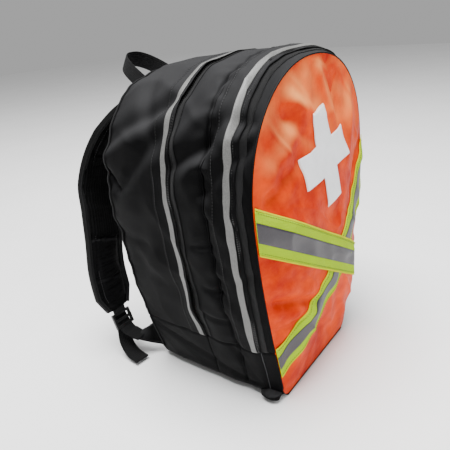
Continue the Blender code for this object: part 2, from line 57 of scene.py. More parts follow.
BASE_HALF_WIDTH = 0.111
WIDEST_Z = 0.2945
SIDE_FOOT_Z = 0.0124
BASE_SEAM_Z, BASE_SEAM_ZONE = 0.091, 0.007
SHELL_BOTTOM_Z = 0.0036
CORNER_RADIUS = 0.018
WALL = 0.0036
ROW_STEP = 0.0032              # between the rows of the shells' meshes
BACK_CENTRE_Z = 0.23
# depth, width scale, top height, upper roundness, lower roundness
STATIONS = np.array((
    (-0.109, 0.917, 0.4475, 2.204, 1.39),
    (-0.0846, 0.978, 0.4532, 2.494, 1.415),
    (-0.056, 0.999, 0.455, 2.494, 1.415),
    (0.0000, 1.000, 0.4494, 2.494, 1.415),
    (0.1026, 0.984, 0.4389, 2.494, 1.415),
    (0.11, 0.94, 0.431, 2.494, 1.415),
)).T
FRONT_SEAM, CENTRE_SEAM, BACK_EDGE, BACK_DEPTH = -0.109, -0.056, 0.1026, 0.11
MAIN_SPLIT, FRONT_SPLIT = -0.007, -0.0916
FILM_WIDTH, FILM_MARGIN, FLAP_WIDTH = 0.0068, 0.0062, 0.03
PANEL_BULGE = 0.03
PANEL_CENTRE_Z = 0.225
CROSS_X, CROSS_Z, CROSS_SIZE = -0.004, 0.324, 0.12
CROSS_TILT = math.radians(8)
TAPE_WIDTH, TAPE_SILVER = 0.05, 0.021
UPPER_TAPE = ((-0.154, 0.276), (0.126, 0.117))
LOWER_TAPE = ((-0.1165, 0.072), (0.153, 0.284))


# ---- small helpers -------------------------------------------------------------------------
def noise_at(points, scale, seed):
    """Smooth noise, about -1 to 1, at an array of points."""
    shift = np.array((seed * 7.31, seed * 3.17, seed * 5.73))
    flat = np.asarray(points, float).reshape(-1, 3) / scale + shift
    values = [noise.noise(Vector(p)) for p in flat]
    return np.array(values).reshape(np.shape(points)[:-1]) * 1.6


def ridges(points, scale, seed):
    """Creases: 1 along narrow lines and near 0 between them."""
    return np.clip(1 - np.abs(noise_at(points, scale, seed)) * 1.3, 0, 1) ** 3


def bell(x, width):
    return np.exp(-(np.asarray(x) / width) ** 2)


def joined(*parts):
    """Arrays or numbers side by side, as the last axis of one array."""
    return np.stack(np.broadcast_arrays(*parts), -1)


def to_world(x, depth, z):
    """Points in space from places measured on the pack."""
    return joined(x, np.asarray(depth) - ORIGIN_DEPTH, z)


def middle(low, high):
    return (low + high) / 2


def placed(name, data):
    """An object in the scene."""
    made = bpy.data.objects.new(name, data)
    bpy.context.scene.collection.objects.link(made)
    return made


def mesh_object(name, points, faces, finishes, face_finish=None, uv=None, smooth=True):
    """A mesh object. uv holds a metric place on the cloth for every point."""
    mesh = bpy.data.meshes.new(name)
    mesh.from_pydata([tuple(p) for p in points], [], [tuple(f) for f in faces])
    for finish in finishes if isinstance(finishes, (list, tuple)) else [finishes]:
        mesh.materials.append(finish)
    if face_finish is not None:
        mesh.polygons.foreach_set("material_index", np.asarray(face_finish, np.int32))
    if uv is not None:
        cloth_uv(mesh, uv)
    if smooth:
        mesh.shade_smooth()
    return placed(name, mesh)


def outward_normals(piece):
    bm = bmesh.new()
    bm.from_mesh(piece.data)
    bmesh.ops.recalc_face_normals(bm, faces=bm.faces)
    bm.to_mesh(piece.data)
    bm.free()
    return piece


def grid_faces(rows, columns, wrap_rows=False, wrap_columns=False):
    """Quads of a grid whose points run row by row."""
    faces = []
    for r in range(rows if wrap_rows else rows - 1):
        for c in range(columns if wrap_columns else columns - 1):
            r2, c2 = (r + 1) % rows, (c + 1) % columns
            faces.append((r * columns + c, r * columns + c2, r2 * columns + c2, r2 * columns + c))
    return faces


def capped_faces(rows, columns):
    """Quads of a tube whose rings run row by row, and the caps of its two ends."""
    ends = [tuple(range(start, start + columns)) for start in (0, (rows - 1) * columns)]
    return grid_faces(rows, columns, wrap_columns=True) + ends


def lofted(name, rings, finish, uv_axes=None):
    """A closed piece through rings of points. uv_axes picks two axes as the place on the cloth."""
    points = np.concatenate(rings)
    uv = points[:, uv_axes] if uv_axes else None
    return outward_normals(mesh_object(name, points, capped_faces(len(rings), len(rings[0])),
                                       finish, uv=uv))


def repeated(block, size, count):
    """The faces of count copies of a block of size points."""
    return [tuple(i + size * k for i in face) for k in range(count) for face in block]


def unit(v):
    return v / np.linalg.norm(v, axis=-1, keepdims=True)


def upright(normal):
    """Outward directions (x, z) as directions in space."""
    return np.stack([normal[:, 0], 0 * normal[:, 0], normal[:, 1]], -1)


def run_of(points):
    """Distance along a line of points."""
    return np.concatenate([[0], np.cumsum(np.linalg.norm(np.diff(points, axis=0), axis=1))])


def at_marks(marks, travel, rows):
    """Rows of values read at distances along a line."""
    return np.stack([np.interp(marks, travel, column) for column in rows.T], 1)


def cloth_uv(mesh, uv):
    """Stores a metric place on the cloth for every point."""
    layer = mesh.uv_layers.new(name="cloth")
    corner = np.zeros(len(mesh.loops), np.int32)
    mesh.loops.foreach_get("vertex_index", corner)
    layer.data.foreach_set("uv", np.asarray(uv, np.float32)[corner].ravel())


def loose(x, z, scale, seed):
    """Slackness of a flat cloth at places (x, z): 0 to about 2."""
    return 1 + noise_at(joined(x, z, 0), scale, seed)


# ---- the cloth surface of the pack ---------------------------------------------------------
class Columns:
    """Places round the outline: bottom, corner, side and top arc, then the same mirrored."""

    def __init__(self, flat=8, arc=7, boot=12, seam=12, side=56, top=64):
        foot = SHELL_BOTTOM_Z + CORNER_RADIUS
        kinds = [(0, v) for v in np.linspace(0, 1, flat, endpoint=False)]
        kinds += [(1, v) for v in np.linspace(0, math.pi / 2, arc, endpoint=False)]
        low, high = BASE_SEAM_Z - BASE_SEAM_ZONE, BASE_SEAM_Z + BASE_SEAM_ZONE
        heights = [*np.linspace(foot, low, boot, endpoint=False),
                   *np.linspace(low, high, seam, endpoint=False),
                   *np.linspace(high, WIDEST_Z, side, endpoint=False)]
        kinds += [(2, v) for v in heights]
        kinds += [(3, v) for v in np.linspace(0, 1, top) ** 1.15 * math.pi / 2]
        self.kind = np.array([k for k, _ in kinds] + [k for k, _ in kinds[-2:0:-1]])
        self.value = np.array([v for _, v in kinds] + [v for _, v in kinds[-2:0:-1]])
        self.sign = np.array([1.0] * len(kinds) + [-1.0] * (len(kinds) - 2))
        self.count = len(self.kind)

    def flat_outline(self, depth):
        """Undisturbed outline points (x, z) at one depth for each column."""
        scale, top, upper, lower = (np.interp(depth, STATIONS[0], row) for row in STATIONS[1:])
        foot = SHELL_BOTTOM_Z + CORNER_RADIUS

        def side_x(z):
            climb = np.clip((z - SIDE_FOOT_Z) / (WIDEST_Z - SIDE_FOOT_Z), 0, 1)
            spread = (HALF_WIDTH - BASE_HALF_WIDTH) * (1 - (1 - climb) ** lower)
            return scale * (BASE_HALF_WIDTH + spread)
        flat = side_x(foot) - CORNER_RADIUS
        v = self.value
        sine, cosine = np.sin(v), np.clip(np.cos(v), 0, 1)
        x = np.select([self.kind == 0, self.kind == 1, self.kind == 2],
                      [flat * v, flat + CORNER_RADIUS * sine, side_x(v)],
                      scale * HALF_WIDTH * cosine ** (2 / upper))
        z = np.select([self.kind == 0, self.kind == 1, self.kind == 2],
                      [SHELL_BOTTOM_Z + 0 * v, foot - CORNER_RADIUS * cosine, v],
                      WIDEST_Z + (top - WIDEST_Z) * np.clip(sine, 0, 1) ** (2 / upper))
        return joined(x * self.sign, z)

    def frame_at(self, depth):
        """Outline points, outward directions and the distance round from the bottom."""
        loop = self.flat_outline(depth)
        along = np.roll(loop, -1, 0) - np.roll(loop, 1, 0)
        along /= np.linalg.norm(along, axis=1)[:, None]
        steps = np.linalg.norm(np.diff(loop, axis=0, append=loop[:1]), axis=1)
        travel = np.concatenate([[0], np.cumsum(steps)[:-1]])
        return loop, joined(along[:, 1], -along[:, 0]), travel


COLUMNS = Columns()
PANELS = ((FRONT_SEAM, FRONT_SPLIT, 0.0015), (FRONT_SPLIT, CENTRE_SEAM, 0.0042),
          (CENTRE_SEAM, MAIN_SPLIT, 0.0048), (MAIN_SPLIT, BACK_EDGE, 0.005))


# Long soft folds of the left side: depth and height at both ends, half width, height of ridge.
FOLDS = (
    (0.1, 0.362, 0.018, 0.404, 0.011, -0.005), (0.018, 0.404, -0.004, 0.414, 0.01, -0.003),
    (0.1, 0.345, 0.01, 0.392, 0.013, 0.004), (0.085, 0.306, 0.022, 0.362, 0.012, -0.005),
    (0.098, 0.322, 0.086, 0.306, 0.005, -0.006), (0.096, 0.298, 0.07, 0.325, 0.006, 0.003),
    (0.08, 0.27, 0.03, 0.285, 0.016, 0.0018), (0.06, 0.19, 0.025, 0.17, 0.018, -0.002),
    (-0.014, 0.345, -0.054, 0.364, 0.008, -0.0042), (-0.018, 0.37, -0.05, 0.402, 0.011, 0.0036),
    (-0.016, 0.312, -0.05, 0.348, 0.012, 0.0034), (-0.033, 0.248, -0.054, 0.25, 0.004, -0.003),
    (-0.036, 0.188, -0.055, 0.183, 0.004, -0.0024), (-0.06, 0.372, -0.072, 0.392, 0.007, -0.005),
    (-0.058, 0.32, -0.08, 0.345, 0.007, -0.0026), (-0.062, 0.3, -0.078, 0.27, 0.008, 0.0022),
    (-0.094, 0.392, -0.109, 0.388, 0.006, -0.0034), (-0.094, 0.356, -0.109, 0.368, 0.006, -0.0034),
    (-0.092, 0.374, -0.109, 0.378, 0.007, 0.003), (-0.092, 0.21, -0.109, 0.222, 0.007, -0.0024),
    (-0.092, 0.3, -0.109, 0.318, 0.009, 0.0026), (0.09, 0.078, -0.07, 0.02, 0.005, -0.0044),
    (-0.02, 0.14, -0.052, 0.135, 0.005, -0.003), (0.094, 0.14, 0.04, 0.21, 0.016, 0.003),
    (0.095, 0.24, 0.05, 0.235, 0.01, -0.003), (0.06, 0.42, 0.03, 0.38, 0.01, -0.0036),
    (-0.05, 0.086, -0.078, 0.03, 0.005, -0.0026), (0.02, 0.084, 0.06, 0.045, 0.009, 0.0018),
)


def line_folds(x, z, folds):
    """Height of listed folds at places on a surface: each is a bell along a short line."""
    total = np.zeros(np.broadcast(x, z).shape)
    for x0, z0, x1, z1, width, height in folds:
        run = np.array((x1 - x0, z1 - z0))
        length = np.linalg.norm(run)
        run = run / length
        along = (x - x0) * run[0] + (z - z0) * run[1]
        beside = (z - z0) * run[0] - (x - x0) * run[1]
        past = np.maximum(np.maximum(-along, along - length), 0)
        total += height * bell(beside, width) * bell(past, width * 1.6)
    return total


def seam_wander(travel, seam):
    """A seam sewn through stuffed cloth isn't straight: how far it strays in depth."""
    place = joined(travel, seam, 0)
    return 0.003 * noise_at(place, 0.06, 31) + 0.001 * noise_at(place, 0.02, 32)


CALM_BELOW, CALM_ABOVE = 0.05, 0.44


def cloth_relief(columns, depth, loop, travel):
    """How far the cloth stands out of the plain outline: stuffing, folds, puckers and seams."""
    z = loop[:, 1]
    place = joined(travel, depth, 0)
    stuffed = np.zeros(len(travel))
    for low, high, crown in PANELS:
        share = np.clip((depth - low) / (high - low), 0, 1)
        stuffed += crown * np.sin(math.pi * share) ** 0.75
    folds = 0.0024 * noise_at(place * (1, 1.6, 1), 0.085, 1)
    folds += 0.0012 * noise_at(place * (1, 1.2, 1), 0.034, 2)
    slant = place @ np.array(((0.8, 0.6, 0), (-0.6, 0.8, 0), (0, 0, 1)))
    folds += 0.0018 * (ridges(slant * (1, 2.4, 1), 0.11, 3) - 0.35)
    left = (loop[:, 0] < 0) & (columns.kind >= 2)
    folds += np.where(left, line_folds(depth, z, FOLDS), 0) * 1.15
    body = np.clip((depth - FRONT_SEAM) / 0.012, 0, 1) * np.clip((0.112 - depth) / 0.012, 0, 1)
    centre = CENTRE_SEAM + seam_wander(travel, CENTRE_SEAM)
    for seam, reach, height in ((centre, 0.012, 0.003), (MAIN_SPLIT, 0.006, 0.0007),
                                (BACK_EDGE, 0.012, 0.0014), (FRONT_SEAM, 0.012, 0.0016)):
        pucker = noise_at(place * (1, 0.35, 1), 0.014, 4 + round(abs(np.mean(seam)) * 100))
        folds += height * pucker * bell(depth - seam, reach)
    calm = 0.45 + 0.55 * np.clip((z - CALM_BELOW) / 0.1, 0, 1)
    calm = calm * np.where(z > CALM_ABOVE, np.clip(1 - (z - CALM_ABOVE) / 0.02, 0.55, 1), 1)
    relief = (stuffed + folds) * calm * body
    relief -= 0.0034 * bell(depth - centre, 0.0022)
    relief -= 0.0022 * bell(z - BASE_SEAM_Z, 0.002) * (columns.kind == 2)
    bottom = columns.kind < 2
    return np.where(bottom, relief * np.clip((z - SHELL_BOTTOM_Z) / 0.015, 0, 1), relief)


def skin(depth, outward=0.0, columns=COLUMNS):
    """Displaced cloth points, outward directions and distance round, at one depth per column."""
    depth = np.broadcast_to(np.asarray(depth, float), (columns.count,))
    loop, normal, travel = columns.frame_at(depth)
    lift = cloth_relief(columns, depth, loop, travel) + outward
    moved = loop + normal * lift[:, None]
    return to_world(moved[:, 0], depth, np.maximum(moved[:, 1], 0.0008)), normal, travel


# ---- materials -----------------------------------------------------------------------------
class Nodes:
    """Short calls for building a material's node tree."""

    def __init__(self, name):
        self.material = bpy.data.materials.new(name)
        self.material.use_nodes = True
        self.tree = self.material.node_tree
        self.shader = self.tree.nodes["Principled BSDF"]

    def add(self, kind, **values):
        node = self.tree.nodes.new(kind)
        for key, value in values.items():
            if key.startswith("in_"):
                node.inputs[key[3:].replace("_", " ")].default_value = value
            else:
                setattr(node, key, value)
        return node

    def link(self, output, target):
        self.tree.links.new(output, target)

    def place(self, source="Object"):
        """An output of the texture coordinates."""
        known = self.tree.nodes.get("Texture Coordinate") or self.add("ShaderNodeTexCoord")
        return known.outputs[source]

    def texture(self, kind, source="Object", **values):
        node = self.add(f"ShaderNodeTex{kind}", **values)
        self.link(self.place(source), node.inputs["Vector"])
        return node

    def feed(self, socket, value):
        """Sets a socket to a plain value, or links it to another node's output."""
        if isinstance(value, (int, float, tuple)):
            socket.default_value = value
        else:
            self.link(value, socket)

    def shade(self, **values):
        """Feeds inputs of the shader."""
        for key, value in values.items():
            self.feed(self.shader.inputs[key.replace("_", " ")], value)

    def plus(self, base, texture, share):
        """A share of a texture, added to a base."""
        return self.math("ADD", base, self.math("MULTIPLY", texture.outputs["Fac"], share))

    def ramp(self, factor, stops):
        node = self.add("ShaderNodeValToRGB")
        node.color_ramp.elements[0].position = stops[0][0]
        node.color_ramp.elements[0].color = stops[0][1]
        node.color_ramp.elements[1].position = stops[-1][0]
        node.color_ramp.elements[1].color = stops[-1][1]
        for position, colour in stops[1:-1]:
            node.color_ramp.elements.new(position).color = colour
        self.link(factor, node.inputs["Fac"])
        return node.outputs["Color"]

    def math(self, operation, a, b):
        node = self.add("ShaderNodeMath", operation=operation)
        for socket, value in zip(node.inputs, (a, b)):
            self.feed(socket, value)
        return node.outputs[0]

    def mix(self, factor, a, b, blend="MIX"):
        node = self.add("ShaderNodeMix", data_type="RGBA", blend_type=blend)
        for index, value in ((0, factor), (6, a), (7, b)):
            self.feed(node.inputs[index], value)
        return node.outputs[2]

    def bump(self, height, distance, strength=1.0, after=None):
        node = self.add("ShaderNodeBump", in_Strength=strength, in_Distance=distance)
        self.link(height, node.inputs["Height"])
        if after:
            self.link(after, node.inputs["Normal"])
        return node.outputs["Normal"]

    def painted_top_light(self, colour, top_light_colour, level, tilted, low=None, high=None):
        """Painted highlight: colour mixed toward a lighter one where the cloth faces up to the
        lamps, more from height low to high.
        """
        geometry = self.add("ShaderNodeNewGeometry")
        parts = self.add("ShaderNodeSeparateXYZ")
        self.link(geometry.outputs["Normal"], parts.inputs[0])
        amount = self.ramp(parts.outputs[2], [(level, grey(0)), (tilted, grey(1))])
        if high:
            place = self.add("ShaderNodeSeparateXYZ")
            self.link(self.place(), place.inputs[0])
            rise = self.ramp(place.outputs[2], [(low, grey(0)), (high, grey(1))])
            amount = self.math("MULTIPLY", amount, rise)
        return self.mix(amount, colour, top_light_colour)


def rgb(r, g, b):
    return (r, g, b, 1.0)


def grey(value, blue=None):
    return rgb(value, value, value if blue is None else blue)


def cloth(name, dark, light, thread=0.0011, rib=0.0, roughness=0.75, grain=0.5, sheen=0.1,
          blotch=0.045, weave_bump=0.00022, speck=0.0, speck_colour=None, top_light_colour=None,
          specular=0.13):
    """Woven cloth: two sets of threads over and under, uneven dye, fine fuzz and a painted
    highlight where it faces up.
    """
    n = Nodes(name)

    def bands(direction, width, **values):
        wave = n.texture("Wave", "UV", wave_type="BANDS", bands_direction=direction,
                         wave_profile="SIN", in_Scale=math.pi / width / 10, **values)
        return wave.outputs["Fac"]
    warp, weft = (bands(direction, thread, in_Distortion=0.35, in_Detail=1.0,
                        in_Detail_Scale=2.0) for direction in "XY")
    weave = n.math("MULTIPLY", warp, weft)
    if rib:
        weave = n.math("ADD", weave, bands("X", rib, in_Distortion=0.2))
    fuzz = n.texture("Noise", "UV", in_Scale=1 / (thread * 1.6), in_Detail=3.0, in_Roughness=0.65)
    patches = n.texture("Noise", in_Scale=1 / blotch, in_Detail=4.0, in_Roughness=0.55)
    tone = n.plus(n.math("MULTIPLY", weave, 1 - grain), fuzz, grain)
    tone = n.plus(n.math("MULTIPLY", tone, 0.7), patches, 0.3)
    colour = n.ramp(tone, [(0.25, dark), (0.75, light)])
    if speck:
        dust = n.texture("Noise", in_Scale=900.0, in_Detail=2.0)
        amount = n.ramp(dust.outputs["Fac"], [(0.62, grey(0)),
                                              (0.8, grey(speck))])
        colour = n.mix(amount, colour, speck_colour)
    # Painted highlight: lighter colour where the cloth faces up toward the lamps above.
    if top_light_colour:
        colour = n.painted_top_light(colour, top_light_colour, 0.15, 0.95)
    n.shade(Base_Color=colour, Roughness=n.plus(roughness - 0.12, fuzz, 0.24))
    fine = n.bump(n.plus(weave, fuzz, 0.6), weave_bump)
    n.shade(Normal=n.bump(patches.outputs["Fac"], 0.0012, 0.5, fine),
            Specular_IOR_Level=specular, Sheen_Weight=sheen, Sheen_Roughness=0.5)
    return n.material


def coated(name, deep, bright, top_light_colour, roughness, specular):
    """Coated nylon: a fine ripstop grain under a soft film, with small crumples."""
    n = Nodes(name)
    crumple = n.texture("Noise", in_Scale=38.0, in_Detail=6.0, in_Roughness=0.6)
    cloud = n.texture("Noise", in_Scale=9.0, in_Detail=3.0, in_Roughness=0.5)
    grain = n.texture("Noise", in_Scale=900.0, in_Detail=2.0)
    tone = n.plus(n.math("MULTIPLY", crumple.outputs["Fac"], 0.5), cloud, 0.5)
    colour = n.ramp(tone, [(0.36, deep), (0.62, bright)])
    # Painted highlight: peach where the panel faces up, and more of it toward the top.
    n.shade(Base_Color=n.painted_top_light(colour, top_light_colour, 0.0, 0.6, 0.31, 0.42),
            Roughness=n.plus(roughness - 0.08, grain, 0.16))
    fine = n.bump(grain.outputs["Fac"], 0.00012)
    n.shade(Normal=n.bump(crumple.outputs["Fac"], 0.003, 0.65, fine),
            Specular_IOR_Level=specular)
    return n.material


def spacer_mesh(name, hole, yarn, cell):
    """Spacer mesh: open cells with a rounded yarn between them."""
    n = Nodes(name)
    cells = n.texture("Voronoi", feature="DISTANCE_TO_EDGE", in_Scale=1 / cell,
                      in_Randomness=0.25)
    fuzz = n.texture("Noise", in_Scale=1400.0, in_Detail=2.0)
    wear = n.texture("Noise", in_Scale=22.0, in_Detail=3.0)
    open_part = n.math("MULTIPLY", cells.outputs["Distance"], 4.0)
    tone = n.plus(n.math("SUBTRACT", n.plus(0.75, fuzz, 0.3), open_part), wear, 0.2)
    n.shade(Base_Color=n.ramp(tone, [(0.2, hole), (0.9, yarn)]), Normal=n.bump(tone, 0.0008),
            Roughness=n.plus(0.65, fuzz, 0.25), Specular_IOR_Level=0.2, Sheen_Weight=0.05)
    return n.material


def beaded(name, dark, light, roughness=0.5, metallic=0.0, scratch=0.5):
    """Reflective film of glass beads: even grain, slight banding and rubbed places."""
    n = Nodes(name)
    beads = n.texture("Voronoi", in_Scale=1400.0)
    rubbed = n.texture("Noise", in_Scale=45.0, in_Detail=5.0, in_Roughness=0.65)
    tone = n.plus(n.math("MULTIPLY", beads.outputs["Distance"], 1 - scratch), rubbed, scratch)
    n.shade(Base_Color=n.ramp(tone, [(0.25, dark), (0.72, light)]),
            Roughness=n.plus(roughness - 0.1, rubbed, 0.2), Metallic=metallic,
            Normal=n.bump(beads.outputs["Distance"], 0.00008))
    return n.material


def moulded(name, dark, light, roughness=0.4, metallic=0.0):
    """Moulded plastic or enamelled metal with a fine texture and worn high spots."""
    n = Nodes(name)
    texture = n.texture("Noise", in_Scale=420.0, in_Detail=4.0)
    worn = n.texture("Noise", in_Scale=60.0, in_Detail=3.0)
    n.shade(Base_Color=n.ramp(worn.outputs["Fac"], [(0.35, dark), (0.7, light)]),
            Roughness=n.plus(roughness - 0.1, texture, 0.2), Metallic=metallic,
            Normal=n.bump(texture.outputs["Fac"], 0.0001))
    return n.material


# The grey for faces turned up is a painted highlight from the lamps above.
NYLON = cloth("black_nylon", grey(0.0003, 0.0004), grey(0.0034, 0.0038),
              roughness=0.56, grain=0.6, sheen=0.006, speck=0.1,
              speck_colour=grey(0.03, 0.034), top_light_colour=grey(0.023, 0.024),
              specular=0.045)
LINING = cloth("grey_lining", grey(0.1, 0.11), grey(0.2, 0.21), thread=0.0009,
               roughness=0.85, sheen=0.2)
TAPE_CLOTH = cloth("zip_tape", grey(0.003), grey(0.014, 0.015),
                   thread=0.0006, roughness=0.7, sheen=0.05)
WEBBING = cloth("black_webbing", grey(0.0015), grey(0.01, 0.0105),
                thread=0.0012, rib=0.003, roughness=0.62, grain=0.3, sheen=0.02,
                weave_bump=0.0004, specular=0.08)
STRAP_MESH = cloth("strap_mesh", grey(0.0005), grey(0.005, 0.0052),
                   thread=0.0016, rib=0.0042, roughness=0.85, grain=0.25, sheen=0.0,
                   weave_bump=0.0007, specular=0.04)
MESH_CLOTH = spacer_mesh("black_mesh", grey(0.0006), grey(0.012, 0.0125),
                         0.0034)
POCKET_MESH = spacer_mesh("pocket_mesh", grey(0.001), grey(0.016, 0.0165),
                          0.0022)
# The peach colour is a painted highlight on the panel's up-facing, upper parts.
ORANGE = coated("orange_fabric", rgb(0.38, 0.006, 0.0001), rgb(0.74, 0.06, 0.0005),
                rgb(1.0, 0.43, 0.12), roughness=0.42, specular=0.035)
PATCH = beaded("white_patch", rgb(0.72, 0.73, 0.75), rgb(0.9, 0.91, 0.93), roughness=0.45,
               scratch=0.7)
PATCH_EDGE = beaded("patch_border", rgb(0.86, 0.62, 0.52), rgb(0.98, 0.84, 0.76))
LIME, LIME_EDGE = (cloth(name, dark, light, thread=0.0007, roughness=0.6, grain=0.45, sheen=0.0,
                         blotch=0.03, specular=0.02)
                   for name, dark, light in (
                       ("lime_tape", rgb(0.29, 0.48, 0.0001), rgb(0.47, 0.7, 0.0002)),
                       ("lime_edge", rgb(0.48, 0.52, 0.002), rgb(0.74, 0.72, 0.006))))
SILVER = beaded("silver_tape", rgb(0.012, 0.01, 0.0125), rgb(0.04, 0.035, 0.042))
STRIP = beaded("reflective_strip", grey(0.065, 0.062), grey(0.16, 0.155),
               metallic=0.1, scratch=0.35)
COIL = moulded("zip_coil", grey(0.004), grey(0.015), 0.4)
METAL = moulded("zip_metal", grey(0.02, 0.022), grey(0.09, 0.095), 0.35, 0.9)
PLASTIC = moulded("black_plastic", grey(0.004), grey(0.014), 0.38)
FOAM = moulded("foam_board", grey(0.03, 0.032), grey(0.06, 0.064), 0.8)
THREAD = moulded("thread", grey(0.006), grey(0.03, 0.032), 0.6)
THREAD_OLIVE = moulded("olive_thread", rgb(0.03, 0.045, 0.004), rgb(0.075, 0.1, 0.01), 0.6)


def finish_piece(piece, body, slot, *nodes):
    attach(piece, body)
    if nodes:
        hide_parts(*nodes)


# ---- shells --------------------------------------------------------------------------------
def depth_rows(low, high, step, *dense):
    """Depths from low to high, closer together round the dense places."""
    marks = set(np.round(np.linspace(low, high, max(2, int((high - low) / step) + 1)), 6))
    for place in dense:
        for offset in (-0.006, -0.004, -0.0026, -0.0015, 0, 0.0015, 0.0026, 0.004, 0.006):
            if low < place + offset < high:
                marks.add(round(place + offset, 6))
    rows = sorted(marks)
    kept = [rows[0]]
    for row in rows[1:]:
        if row - kept[-1] > 0.0009:
            kept.append(row)
    return kept


def plain_ring(depth, inset, laid_at=None):
    """The plain outline at a depth, drawn in by inset. It may be laid at another depth."""
    loop, normal, travel = COLUMNS.frame_at(np.full(COLUMNS.count, depth))
    moved = loop - normal * inset
    return to_world(moved[:, 0], depth if laid_at is None else laid_at, moved[:, 1]), travel


def skin_row(depth):
    """A ring of the outer cloth: points, places on the cloth and finish."""
    points, _, travel = skin(depth)
    return points, joined(travel, depth), 0


def lining_row(depth):
    """Inside of the cloth: the plain wall, pushed further in under each deep fold."""
    depths = np.full(COLUMNS.count, depth)
    loop, normal, travel = COLUMNS.frame_at(depths)
    lift = np.minimum(-WALL, cloth_relief(COLUMNS, depths, loop, travel) - 0.0014)
    moved = loop + normal * lift[:, None]
    return to_world(moved[:, 0], depth, moved[:, 1]), joined(travel, depth), 1


def wall_rows(rim, depth, count, finish):
    """Rows of the back's upright wall, from its rim to a small ring round its centre."""
    centre = np.array((0, depth - ORIGIN_DEPTH, BACK_CENTRE_Z))
    rings = [centre + (rim - centre) * (1 - k / count) ** 0.9 for k in range(1, count)]
    return [(points, points[:, (0, 2)], finish) for points in (rim, *rings)]


def shell(name, rows, faces, face_finish, body, node):
    """Nylon and its lining, through rows of points and their places on the cloth."""
    points, uvs, _ = zip(*rows)
    piece = mesh_object(name, np.concatenate(points), faces, [NYLON, LINING], face_finish,
                        np.concatenate(uvs))
    finish_piece(outward_normals(piece), body, "black_nylon", node)


def rear_shell():
    """The tray of the rear section: lining of the back, lining, sides, back."""
    inner_depth = BACK_DEPTH - WALL
    rim, _ = plain_ring(BACK_EDGE, WALL + 0.003, inner_depth)
    rows = wall_rows(rim, inner_depth, 10, 1)[::-1]
    rows += map(lining_row, depth_rows(MAIN_SPLIT + 0.0006, 0.095, ROW_STEP)[::-1])
    rows += map(skin_row, depth_rows(MAIN_SPLIT + 0.0003, BACK_EDGE, ROW_STEP,
                                     BACK_EDGE - 0.003))
    last = rows[-1][0]
    back_rim, travel = plain_ring(BACK_DEPTH - 0.0001, 0.001)
    for share in (0.45, 0.75, 0.92):
        blended = last + (back_rim - last) * (share, share ** 0.6, share)
        rows.append((blended, joined(travel, BACK_EDGE + 0.01 * share), 0))
    rows += wall_rows(back_rim, BACK_DEPTH, 12, 0)
    face_finish = np.append(np.repeat([row[2] for row in rows[1:]], COLUMNS.count), (1, 0))
    shell("rear_shell_cloth", rows, capped_faces(len(rows), COLUMNS.count), face_finish,
          "rear_section", "rear_shell")


def sleeve(name, low, high, body, node, *dense):
    """A band of the pack's side all the way round, with its lining."""
    rows = list(map(skin_row, depth_rows(low, high, ROW_STEP, *dense)))
    rows += map(lining_row, depth_rows(low + 0.0002, high - 0.0002, ROW_STEP, *dense)[::-1])
    faces = grid_faces(len(rows), COLUMNS.count, wrap_rows=True, wrap_columns=True)
    shell(name, rows, faces, np.repeat([row[2] for row in rows], COLUMNS.count), body, node)


# ---- bands over the sides and top ----------------------------------------------------------
def seam_columns(start_z=BASE_SEAM_Z):
    """Indices of the columns from the base seam on one side, over the top, to the other."""
    loop = COLUMNS.flat_outline(np.zeros(COLUMNS.count))
    keep = (loop[:, 1] >= start_z) & (COLUMNS.kind >= 2)
    return np.flatnonzero(keep)


def band(name, across, finish, body, slot, nodes=(), start_z=BASE_SEAM_Z, thickness=0.0009):
    """A flat strip over the pack. across lists (depth, height) functions of height z and
    distance round, from one long edge to the other."""
    picked = seam_columns(start_z)
    loop = COLUMNS.flat_outline(np.zeros(COLUMNS.count))
    _, _, travel = COLUMNS.frame_at(np.zeros(COLUMNS.count))
    top, under = [], []
    for rule in across:
        depth, height = rule(loop[:, 0], loop[:, 1], travel)
        depth = np.broadcast_to(depth, travel.shape)
        upper, _, _ = skin(depth, height)
        lower, _, _ = skin(depth, np.asarray(height) - thickness)
        top.append(upper[picked])
        under.append(lower[picked])
    rows = top + under[::-1]
    points = np.stack(rows, 1).reshape(-1, 3)
    width = np.cumsum([0] + [np.linalg.norm(b - a, axis=1).mean() for a, b in zip(top, top[1:])])
    shares = np.concatenate([width, width[::-1]])
    uv = joined(np.repeat(travel[picked], len(rows)), np.tile(shares, len(picked)))
    faces = grid_faces(len(picked), len(rows), wrap_columns=True)
    faces.append(tuple(range(len(rows))))
    faces.append(tuple(range(len(points) - len(rows), len(points))))
    piece = outward_normals(mesh_object(name, points, faces, finish, uv=uv))
    finish_piece(piece, body, slot, *nodes)


def flap_lift(seed, bumps):
    """How far a storm flap's free edge stands off, as a function of the place on it."""
    def lift(x, z, travel):
        height = 0.0022 + 0.0012 * noise_at(joined(travel, 0, 0), 0.045, seed)
        for side, level, reach, rise in bumps:
            near = bell(z - level, reach) * (np.sign(x) == side)
            height = height + rise * near
        return np.maximum(height, 0.0014)
    return lift


def storm_flap(prefix, body, edge, seed, bumps, nodes):
    """The flap that hides a zip, with its reflective strip a margin in from the free edge."""
    lift = flap_lift(seed, bumps)

    def wander(travel):
        return 0.0013 * noise_at(joined(travel, 0, 0), 0.06, seed + 5)

    def at(share, extra=0.0):
        def rule(x, z, travel):
            height = lift(x, z, travel)
            tuck = np.minimum(height, 0.009) * 0.35 * (1 - share)
            depth = edge + FLAP_WIDTH * share + wander(travel) * (1 - share) + tuck
            return depth, 0.0012 + height * (1 - share) ** 2 + extra
        return rule
    shares = [0.0, 0.1, 0.22, 0.36, 0.5, 0.65, 0.8, 0.92, 1.0]
    band(f"{prefix}_flap_cloth", [at(s) for s in shares], NYLON, body, "black_nylon", nodes[:1])
    first, share = FILM_MARGIN / FLAP_WIDTH, FILM_WIDTH / FLAP_WIDTH
    band(f"{prefix}_strip_film", [at(first + share * s, 0.0007) for s in
                                  (0, 0.12, 0.35, 0.65, 0.9, 1.0)],
         STRIP, body, "reflective_strip", nodes[1:], thickness=0.0005)


